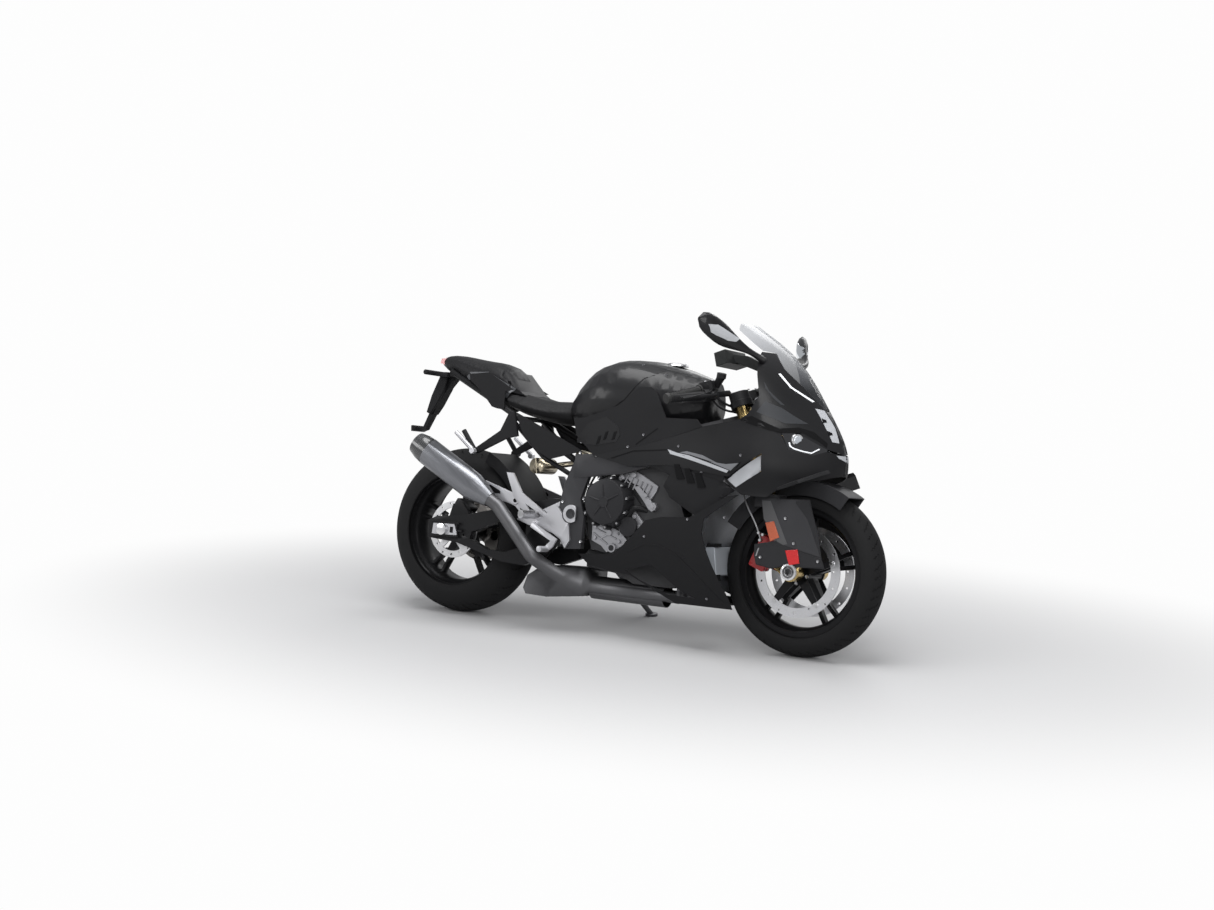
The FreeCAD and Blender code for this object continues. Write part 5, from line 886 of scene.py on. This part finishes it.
made("fork_cap_nuts", draft, "steering", silver, 34, 0.0006)

# Dash: a slim black display in its plastic box, ahead of the top yoke.
# Display and box share one dark, lightly grained finish.
dash_black = grained("dash_black", (0.020, 0.021, 0.021), 0.5)
dressed("dashboard", dash_black, 34, 0.0015)

# Fairing skins: thin moulded panels, glossy black at the nose, satin on the flanks, matt below.
# Nose, flanks, belly, winglets and inner panels are painted plastic, screwed to stays.
gloss_black = grained("gloss_black", (0.0075, 0.0075, 0.0085), 0.4, 1500.0, 0.00002, Coat_Weight=0.16,
                      Coat_Roughness=0.14, Specular_IOR_Level=0.2)
satin_black = grained("satin_black", (0.010, 0.010, 0.011), 0.5, 1100.0, 0.00005, Specular_IOR_Level=0.15)
matt_black = grained("matt_black", (0.0115, 0.0115, 0.0125), 0.62, 900.0, 0.0001, Specular_IOR_Level=0.12)
# The darkest black serves bands, seams, notches and ribs, and painted shade in holes, slots and openings.
band_black_and_hole_shade = grained("band_black_and_hole_shade", (0.003, 0.003, 0.0035), 0.7, 900.0, 0.0001, Specular_IOR_Level=0.12)
facet_grey = grained("facet_grey", (0.085, 0.088, 0.095), 0.5, 900.0, 0.0001, Specular_IOR_Level=0.3)
slat_grey = grained("slat_grey", (0.40, 0.41, 0.43), 0.42, 900.0, 0.00008)
shard_grey = grained("shard_grey", (0.16, 0.165, 0.175), 0.42, 1200.0, 0.00004)
# A lighter black laid on the nose as a painted highlight.
painted_highlight_black = grained("painted_highlight_black", (0.040, 0.042, 0.046), 0.36, 1200.0, 0.00003)
dressed("nose_fairing", gloss_black, 26)
dressed("right_side_fairing", satin_black, 26)
dressed("left_side_fairing", satin_black, 26)
dressed("belly_fairing", matt_black, 26)
dressed("infill_panels", matt_black, 26)
dressed("winglets", matt_black, 26)


def draped(draft, points, skin, axis, facing, lift=0.8, wall=1.6, step=12, well_out=1500):
    """A sheet cut to an outline seen along an axis and laid on the skin that faces that way.

    What would lie beside the skin is left off.
    """
    sheet = gridded(points, axis, step)
    way = Vector([-facing if place == axis else 0 for place in range(3)])
    beside = []
    for vert in sheet.verts:
        start = vert.co.copy()
        start[axis] = facing * well_out
        hit = skin.ray_cast(start, way)[0]
        if hit is None:
            beside.append(vert)
        else:
            vert.co[axis] = hit[axis] + facing * lift
    bmesh.ops.delete(sheet, geom=beside, context="VERTS")
    walled(draft, sheet, way * wall)


nose_skin = surface_of("nose_fairing", "headlamps", "right_side_fairing", "left_side_fairing")
strip = [(57, 875), (53, 843), (51, 804), (49, 762), (25, 760), (16, 815), (25, 871)]
draft = bmesh.new()
for side in (-1, 1):
    draped(draft, [(side * across, height) for across, height in strip], nose_skin, 0, 1)
made("nose_strips", draft, "chassis", slat_grey, 30)
draft = bmesh.new()
for side in (-1, 1):
    for low in (783, 826):
        notch = [(53, low), (51, low + 17), (38, low + 12), (38, low + 4)]
        draped(draft, [(side * across, height) for across, height in notch], nose_skin, 0, 1, 1.5)
made("nose_notches", draft, "chassis", band_black_and_hole_shade, 30)
draft = bmesh.new()
foot = [(-58, 729), (-30, 722), (0, 714), (30, 722), (58, 729), (40, 706), (0, 692), (-40, 706)]
draped(draft, foot, nose_skin, 0, 1, 1.0)
made("nose_foot", draft, "chassis", slat_grey, 30)
# A lit facet and a crease on the nose, laid in a lighter black: painted highlights.
nose_lit_facet = [(604, 885), (655, 866), (705, 835), (737, 818), (674, 813), (645, 824), (581, 845)]
nose_crease_highlight = [(591, 953), (610, 923), (630, 904), (663, 875), (650, 878), (624, 900), (599, 930)]
laid_pair("nose_painted_highlights", [nose_lit_facet, nose_crease_highlight], nose_skin, "chassis", painted_highlight_black, 0.7, 1.4, 14)
band = [(518, 814), (567, 830), (660, 793), (714, 803), (758, 792), (802, 756), (803, 740), (780, 758),
        (728, 784), (673, 778), (634, 783), (563, 801)]
laid_pair("lamp_brows", [band], nose_skin, "chassis", band_black_and_hole_shade, 0.9, 1.6, 14)

# Flank work: a ribbed vent panel, the air outlet's pale slat, and flat shards of grey.
# The shards are a plain decoration of thin film; the slat and panel are moulded and clipped in.
# The bolts, the seams, the belly's creases and a tray that shades the engine's underside follow.
flank_skin = surface_of("right_side_fairing", "left_side_fairing", "infill_panels")
shards = [[(248, 692), (262, 676), (330, 664), (420, 645), (505, 625), (512, 634), (430, 655),
           (340, 676), (290, 682)],
          [(300, 684), (350, 678), (420, 664), (470, 655), (400, 680), (330, 690)],
          [(430, 660), (500, 640), (520, 634), (548, 662), (500, 655)]]
laid_pair("flank_shards", shards[:1], flank_skin, "chassis", slat_grey, 0.6, 1.2, 18)
laid_pair("flank_shards_dark", shards[1:], flank_skin, "chassis", shard_grey, 0.8, 1.4, 18)
slat = [(503, 600), (625, 702), (636, 653), (546, 574)]
laid_pair("outlet_slats", [slat], flank_skin, "chassis", slat_grey, -3, 2.4, 16)
panel = [(222, 636), (266, 603), (243, 560), (274, 521), (385, 466), (539, 566), (491, 593), (380, 612),
         (300, 640)]
inner_skin = surface_of("infill_panels")
laid_pair("vent_panels", [panel], inner_skin, "chassis", matt_black, 3, 3, 18)
ribs = [[(x, z), (x + 22, z + 2), (x + 50, z - 48), (x + 18, z - 52)]
        for x, z in ((282 + 46 * number, 640 - 12 * number) for number in range(3))]
laid_pair("vent_ribs", ribs, inner_skin, "chassis", band_black_and_hole_shade, 6, 3, 18)
draft = bmesh.new()
belly_skin = surface_of("belly_fairing")
for side in (-1, 1):
    for x, z in ((177, 374), (358, 451), (433, 176), (60, 372), (505, 470)):
        bolt(draft, x, skin_y(belly_skin, x, z, side), z, side, 5.5, 2)
    for x, z in ((552, 690), (292, 706), (80, 690), (400, 622)):
        bolt(draft, x, skin_y(flank_skin, x, z, side), z, side, 5.5, 2)
bolt_grey = grained("bolt_grey", (0.16, 0.16, 0.17), 0.42, 900.0, 0.00004, Metallic=0.8)
made("fairing_bolts", draft, "chassis", bolt_grey, 34)
seams = [[(-4, 638), (105, 676), (250, 690), (514, 627), (533, 633), (555, 666)],
         [(112, 700), (196, 764)]]
seam_outlines = [line_outline(seam, 4.5) for seam in seams]
laid_pair("flank_seams", seam_outlines, flank_skin, "chassis", band_black_and_hole_shade, 0.5, 1.4, 22)
crease_line = [(106, 313), (177, 347), (235, 348), (310, 323), (365, 283), (497, 166)]
draft = bmesh.new()
for side in (-1, 1):
    laid(draft, line_outline(crease_line, 5), belly_skin, side, 1.2, 2, 20)
    laid(draft, [(317, 326), (351, 315), (339, 310)], belly_skin, side, 1.4, 2, 20)
made("belly_creases", draft, "chassis", satin_black, 30)
tray = [(-112, 300), (300, 300), (300, 205), (250, 192), (90, 192), (30, 222), (-112, 236)]
draft = bmesh.new()
plate(draft, tray, -98, 98)
made("sump_shadow_tray", draft, "chassis", core_grey, 30, 0.004)

# Radiator and oil cooler: brazed cores of fine fins in dark frames, bolted ahead of the engine.
# The fins are pressed sheet; their fine lines run across the core.
fin_metal = Finish("fin_metal", Metallic=0.7, Roughness=0.45)
fin_place = fin_metal.place()
fin_height = fin_metal.node("SeparateXYZ", values={"Vector": fin_place}, output=2)
fin_wave = (fin_height * 1600.0).math("SINE") * 0.5 + 0.5
fin_metal.feed(Base_Color=fin_metal.blend(fin_wave, (0.08, 0.083, 0.09), (0.26, 0.27, 0.29)),
               Normal=fin_metal.bump(fin_wave, 0.0006, 0.7))
dressed("radiator", fin_metal.material, 34)
cooler_grey = grained("cooler_grey", (0.46, 0.49, 0.53), 0.45, 500.0, 0.0002, Metallic=0.3)
draft = bmesh.new()
plate(draft, [(351, 352), (424, 359), (441, 261), (385, 250)], -122, 122)
made("oil_cooler", draft, "chassis", cooler_grey, 34, 0.002)
draft = bmesh.new()
for side in (-1, 1):
    plate(draft, [(345, 366), (436, 372), (438, 360), (350, 353)], side * 90, side * 126)
    plate(draft, [(384, 252), (441, 262), (446, 240), (392, 232)], side * 90, side * 126)
made("oil_cooler_tanks", draft, "chassis", matt_black, 34, 0.001)

# Headlamps: dark glossy covers, each with a bright round projector and a thin bright line at its foot.
# The covers are polycarbonate; the projector is a glass ball in a plated ring.
lamp_cover = Finish("lamp_cover", Base_Color=(0.006, 0.006, 0.008, 1), Roughness=0.08, Coat_Weight=1.0,
                    Coat_Roughness=0.03)
lamp_ripple = lamp_cover.noise(lamp_cover.place(), 6.0, 2)
lamp_cover.feed(Roughness=lamp_cover.between(lamp_ripple, 0.06, 0.12))
dressed("headlamps", lamp_cover.material, 26)
lamp_skin = surface_of("headlamps")
lamp_glass = Finish("lamp_glass", Base_Color=(0.62, 0.66, 0.72, 1), Roughness=0.05, Metallic=0.5,
                    Coat_Weight=1.0)
glass_cloud = lamp_glass.noise(lamp_glass.place(), 40.0, 2)
lamp_glass.feed(Base_Color=lamp_glass.blend(glass_cloud, (0.36, 0.40, 0.46), (0.86, 0.89, 0.92)))
# A pale finish for the lamps' thin lines, also laid on the screen's edge as a painted highlight.
lamp_strip_and_screen_highlight = Finish("lamp_strip_and_screen_highlight", Base_Color=(0.85, 0.87, 0.9, 1), Roughness=0.25, Coat_Weight=0.5)
light_cloud = lamp_strip_and_screen_highlight.noise(lamp_strip_and_screen_highlight.place(), 60.0, 2)
lamp_strip_and_screen_highlight.feed(Roughness=lamp_strip_and_screen_highlight.between(light_cloud, 0.2, 0.3))
draft_ring, draft_ball = bmesh.new(), bmesh.new()
for side in (-1, 1):
    eye = Vector((719, side * 136, 758))
    out = Vector((0.72, side * 0.68, 0.08)).normalized()
    round_bar(draft_ring, eye - out * 10, eye + out * 1.5, 24, 21, 40)
    round_bar(draft_ball, eye - out * 6, eye + out * 2.6, 18, 14, 40)
made("projector_rings", draft_ring, "chassis", bright, 34, 0.001)
made("projector_lenses", draft_ball, "chassis", lamp_glass.material, 60, 0.0015)
lamp_line = line_outline([(697, 748), (702, 736), (714, 728), (740, 721), (766, 717), (785, 734)], 4.5)
laid_pair("lamp_lines", [lamp_line], lamp_skin, "chassis", lamp_strip_and_screen_highlight.material,
          lift=0.6, wall=1.2, step=12)

# Screen: a tinted double-bubble of clear plastic, paler towards its top, on the nose.
# A bright line along its lower edge on each side is a painted highlight.
screen_smoke = Finish("screen_smoke", Roughness=0.2, Specular_IOR_Level=0.3)
screen_place = screen_smoke.place()
screen_height = screen_smoke.node("SeparateXYZ", values={"Vector": screen_place}, output=2)
tint_starts, tint_slope = 0.93, 5.0
tint = (screen_height - tint_starts) * tint_slope
tint = tint.math("MAXIMUM", 0.0).math("MINIMUM", 1.0)
screen_smoke.feed(Base_Color=screen_smoke.blend(tint, (0.02, 0.021, 0.024), (0.26, 0.27, 0.29)),
                  Alpha=screen_smoke.between(tint, 0.72, 0.45))
dressed("windscreen", screen_smoke.material, 40)
screen_skin = surface_of("windscreen", "nose_fairing")
# The screen's bright edge line is a painted highlight.
screen_highlight_line = line_outline([(623, 987), (664, 942), (715, 908), (730, 898)], 5)
laid_pair("screen_edge_highlights", [screen_highlight_line], screen_skin, "chassis", lamp_strip_and_screen_highlight.material,
          lift=0.6, wall=1.2, step=14)

# Mirrors: black housings on short stalks, a glass behind each and a pale lamp along the outer edge.
# The glasses are silvered; the housings are painted plastic on cast feet.
lens_pale = grained("lens_pale", (0.44, 0.45, 0.47), 0.22, 300.0, 0.0001, Coat_Weight=0.6)
dressed("right_mirror", gloss_black, 30)
dressed("left_mirror", gloss_black, 30)
mirror_glass = Finish("mirror_glass", Base_Color=(0.72, 0.75, 0.78, 1), Metallic=1.0, Roughness=0.04)
silvering = mirror_glass.noise(mirror_glass.place(), 8.0, 2)
mirror_glass.feed(Roughness=mirror_glass.between(silvering, 0.03, 0.06))
lens = [(404, 1125), (377, 1127), (338, 1110), (287, 1090), (302, 1077), (332, 1077), (373, 1090),
        (391, 1099)]
glass = [(396, 1132), (360, 1138), (310, 1118), (276, 1094), (300, 1076), (345, 1078), (385, 1098)]
for side, node in ((-1, "right_mirror"), (1, "left_mirror")):
    mirror_skin = surface_of(node)
    for name, points, facing, finish in ((node + "_lamp", lens, 1, lens_pale),
                                         (node + "_glass", glass, -1, mirror_glass.material)):
        outline = [(side * across, height) for across, height in points]
        draft = bmesh.new()
        draped(draft, outline, mirror_skin, 0, facing, 1.6, 2.4, 7)
        made(name, draft, "chassis", finish, 30)

# Fuel tank: a pressed steel shell in black, with a satin cover each side and a locking cap on top.
# The cap is machined and bolted down through its ring; the covers clip to the tank.
dressed("fuel_tank", gloss_black, 30)
tank_skin = surface_of("fuel_tank")
cap_x = 150
well_above = 1500
cap_z = tank_skin.ray_cast(Vector((cap_x, 0, well_above)), Vector((0, 0, -1)))[0].z
draft = bmesh.new()
lid = round_bar(draft, (cap_x, 0, cap_z - 3), (cap_x, 0, cap_z + 5), 42, 38, 48)
sunk(draft, lid, Vector((0, 0, 1)), 12, -3)
for x, y in circle((cap_x, 0), 35, 6):
    round_bar(draft, (x, y, cap_z + 4), (x, y, cap_z + 8), 3, 3, 12)
made("tank_cap", draft, "chassis", fastener, 34, 0.0006)
shoulder = [(59, 111), (59, 91), (160, 59), (250, 66), (158, 96), (135, 125), (60, 125)]
draft = bmesh.new()
for side in (-1, 1):
    draped(draft, [(along, side * across) for along, across in shoulder], tank_skin, 2, 1, 0.8, 1.6, 14)
made("tank_panels", draft, "chassis", satin_black, 30)
cover_skin = surface_of("infill_panels", "fuel_tank", "main_frame")
recess = [(-154, 693), (-104, 765), (-28, 795), (30, 760), (41, 732), (27, 705), (-64, 687)]
laid_pair("cover_recesses", [recess], cover_skin, "chassis", satin_black, 1.0, 2, 18)
# Dark sheets in the covers' slots are painted shade.
slot_shade_outlines = [[(x - 14, z), (x - 2, z + 4), (x + 6, z + 34), (x - 6, z + 30)]
             for x, z in ((-46, 690), (-17, 708), (20, 710))]
laid_pair("cover_slot_shade", slot_shade_outlines, cover_skin, "chassis", band_black_and_hole_shade, 2.2, 2, 18)
draft = bmesh.new()
for side in (-1, 1):
    for x, z in ((140, 738), (-126, 695), (66, 994), (169, 960)):
        bolt(draft, x, skin_y(cover_skin, x, z, side), z, side, 5.5, 2)
made("cover_bolts", draft, "chassis", bolt_grey, 34)
tank_seam = line_outline([(-113, 785), (-31, 815), (35, 861), (64, 899), (96, 943), (130, 958)], 4)
laid_pair("tank_seams", [tank_seam], tank_skin, "chassis", band_black_and_hole_shade, 0.4, 1.2, 18)

# Rider's seat: a foam pad under a plain grained vinyl cover.
# The cover is pulled tight over the pad and stapled beneath it.
seat_vinyl = Finish("seat_vinyl", Roughness=0.6, Specular_IOR_Level=0.14)
vinyl_place = seat_vinyl.place()
vinyl_cells = seat_vinyl.node("TexVoronoi", values={"Vector": vinyl_place, "Scale": 420.0})
vinyl_tone = seat_vinyl.noise(vinyl_place, 14.0, 3)
seat_vinyl.feed(Base_Color=seat_vinyl.blend(vinyl_tone, (0.010, 0.010, 0.0105), (0.016, 0.016, 0.017)),
                Roughness=seat_vinyl.between(vinyl_cells, 0.55, 0.7),
                Normal=seat_vinyl.bump(vinyl_cells, 0.0004, 0.6))


def padded(node, finish, voxel, cap, frames=20):
    """A cushion: the CAD solid, evenly meshed, then blown up as cloth with its travel capped."""
    draft = bmesh.new()
    draft.from_mesh(frame["nodes"][node].data)
    bmesh.ops.remove_doubles(draft, verts=draft.verts, dist=2e-6)
    mesh = bpy.data.meshes.new(node + "_pad")
    draft.to_mesh(mesh)
    draft.free()
    piece = bpy.data.objects.new(node + "_pad", mesh)
    scene.collection.objects.link(piece)
    cells = piece.modifiers.new("cells", "REMESH")
    cells.mode = "VOXEL"
    cells.voxel_size = voxel
    graph = bpy.context.evaluated_depsgraph_get()
    even = bpy.data.meshes.new_from_object(piece.evaluated_get(graph))
    piece.modifiers.clear()
    piece.data = even
    rest = [vert.co.copy() for vert in even.vertices]
    low = min(spot.z for spot in rest)
    held = piece.vertex_groups.new(name="held")
    under = [vert.index for vert in even.vertices if vert.normal.z < -0.3 or vert.co.z < low + 0.01]
    held.add(under, 1.0, "ADD")
    cloth = piece.modifiers.new("cloth", "CLOTH")
    cloth.settings.quality = 4
    cloth.settings.mass = 0.3
    cloth.settings.use_pressure = True
    cloth.settings.uniform_pressure_force = 4
    cloth.settings.effector_weights.gravity = 0
    cloth.settings.vertex_group_mass = "held"
    cloth.point_cache.frame_start = 1
    cloth.point_cache.frame_end = frames
    for step in range(1, frames + 1):
        scene.frame_set(step)
    graph = bpy.context.evaluated_depsgraph_get()
    blown = piece.evaluated_get(graph).data
    moved = [vert.co.copy() for vert in blown.vertices]
    piece.modifiers.clear()
    piece.vertex_groups.clear()
    scene.frame_set(1)
    for vert, spot, end in zip(even.vertices, rest, moved):
        travel = end - spot
        if travel.length > cap:
            travel = travel * (cap / travel.length)
        vert.co = spot + travel
    finer = piece.modifiers.new("finer", "SUBSURF")
    finer.levels = finer.render_levels = 1
    shaded(even, 60)
    even.materials.append(finish)
    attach(piece, frame["nodes"][node]["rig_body"])
    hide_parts(node)
    return piece


padded("rider_seat", seat_vinyl.material, 0.006, 0.006)

# Tail: the cowl with its matt facets, a red lamp under the tip, and the plate holder in its cover.
# The cowl is painted plastic; the lamp lens is clear red over a bright reflector.
dressed("tail_cowl", satin_black, 26)
tail_skin = surface_of("tail_cowl")
wing = [(-733, 918), (-716, 936), (-626, 940), (-492, 881), (-526, 843), (-622, 861), (-710, 880)]
laid_pair("tail_facets", [wing], tail_skin, "chassis", facet_grey)
# A dark disc in the cowl's hole is painted shade.
hole_x, hole_z = -526, 901
draft = bmesh.new()
for side in (-1, 1):
    y = skin_y(tail_skin, hole_x, hole_z, side)
    round_bar(draft, (hole_x, y - side * 2, hole_z), (hole_x, y + side * 1.2, hole_z), 9, 8, 24)
made("tail_hole_shade", draft, "chassis", band_black_and_hole_shade, 30)
lamp_red = Finish("lamp_red", Base_Color=(0.32, 0.006, 0.008, 1), Roughness=0.12, Coat_Weight=0.8)
red_cells = lamp_red.node("TexVoronoi", values={"Vector": lamp_red.place(), "Scale": 160.0})
lamp_red.feed(Base_Color=lamp_red.blend(red_cells, (0.16, 0.004, 0.005), (0.50, 0.012, 0.014)))
dressed("tail_lamp", lamp_red.material, 34)
dressed("plate_holder", matt_black, 34, 0.0008)
holder_cover = [(-898, 922), (-862, 918), (-872, 868), (-908, 800), (-934, 762), (-952, 770), (-934, 836)]
draft = bmesh.new()
plate(draft, holder_cover, -30, 30)
made("plate_holder_cover", draft, "chassis", matt_black, 34, 0.003)

# Footrests and hangers: cast silver plates, ribbed pegs and their pedals, bolted to the frame.
# The passenger's pegs fold on black brackets; dark inlays in the hangers' openings and boss are painted
# shade.
dressed("rider_footrests", silver, 34, 0.0008)
dressed("pillion_footrests", matt_black, 34, 0.0008)
draft = bmesh.new()
for side in (-1, 1):
    round_bar(draft, (-594, side * 206, 636), (-675, side * 206, 697), 9, 8, 20)
    round_bar(draft, (-590, side * 196, 630), (-590, side * 216, 630), 11, 11, 20)
made("pillion_pegs", draft, "chassis", silver, 34, 0.0008)
peg_inner, peg_x, peg_z = 200, -300, 415
boss_x, boss_z = -397, 457
rib_spacing = 10
draft = bmesh.new()
for side in (-1, 1):
    for number in range(9):
        y = side * (peg_inner + rib_spacing * number)
        round_bar(draft, (peg_x, y, peg_z), (peg_x, y + side * 4, peg_z), 12.5, 12.5, 20)
    bolt(draft, boss_x, side * 176, boss_z, side, 9, 4)
made("peg_ribs", draft, "chassis", fastener, 34)
hanger = [(-571, 512), (-541, 522), (-390, 478), (-372, 449), (-362, 435), (-295, 423), (-199, 471),
          (-200, 448), (-275, 407), (-258, 383), (-200, 359), (-195, 339), (-238, 355), (-265, 368),
          (-331, 370), (-387, 387), (-368, 409), (-398, 435), (-429, 445), (-504, 459), (-556, 485)]
hanger_inner, hanger_outer = 166, 175
inlay_proud = 0.6
draft = bmesh.new()
for side in (-1, 1):
    plate(draft, hanger, side * hanger_inner, side * hanger_outer)
    round_bar(draft, (boss_x, side * 164, boss_z), (boss_x, side * 180, boss_z), 17, 15, 32)
made("hanger_plates", draft, "chassis", silver, 34, 0.0015)
# Dark inlays in the openings and in the boss's bore: painted shade.
hanger_window_shade = ([(-543, 507), (-515, 507), (-470, 487), (-469, 477), (-506, 477)],
                  [(-376, 431), (-342, 416), (-365, 407)])
draft = bmesh.new()
for side in (-1, 1):
    for points in hanger_window_shade:
        plate(draft, points, side * (hanger_inner - inlay_proud), side * (hanger_outer + inlay_proud))
    round_bar(draft, (boss_x, side * 179, boss_z), (boss_x, side * 180.8, boss_z), 8, 8, 24)
made("hanger_opening_shade", draft, "chassis", band_black_and_hole_shade, 34)

# Shock absorber: a spring unit with a reservoir clamped beside it, all in one brass tone.
# It stands between the swingarm and the frame.
brass = grained("brass", (0.46, 0.41, 0.31), 0.32, 1200.0, 0.00004, Metallic=1.0)
dressed("shock_absorber", brass, 34)

# Small running gear: the hugger over the rear tyre and the side stand.
# The hugger is matt plastic; the stand is plated steel and folds on its own pivot.
dressed("rear_hugger", matt_black, 30)
stand_steel = grained("stand_steel", (0.10, 0.10, 0.105), 0.42, 900.0, 0.0001, Metallic=0.7)
dressed("side_stand", stand_steel, 34, 0.0008)
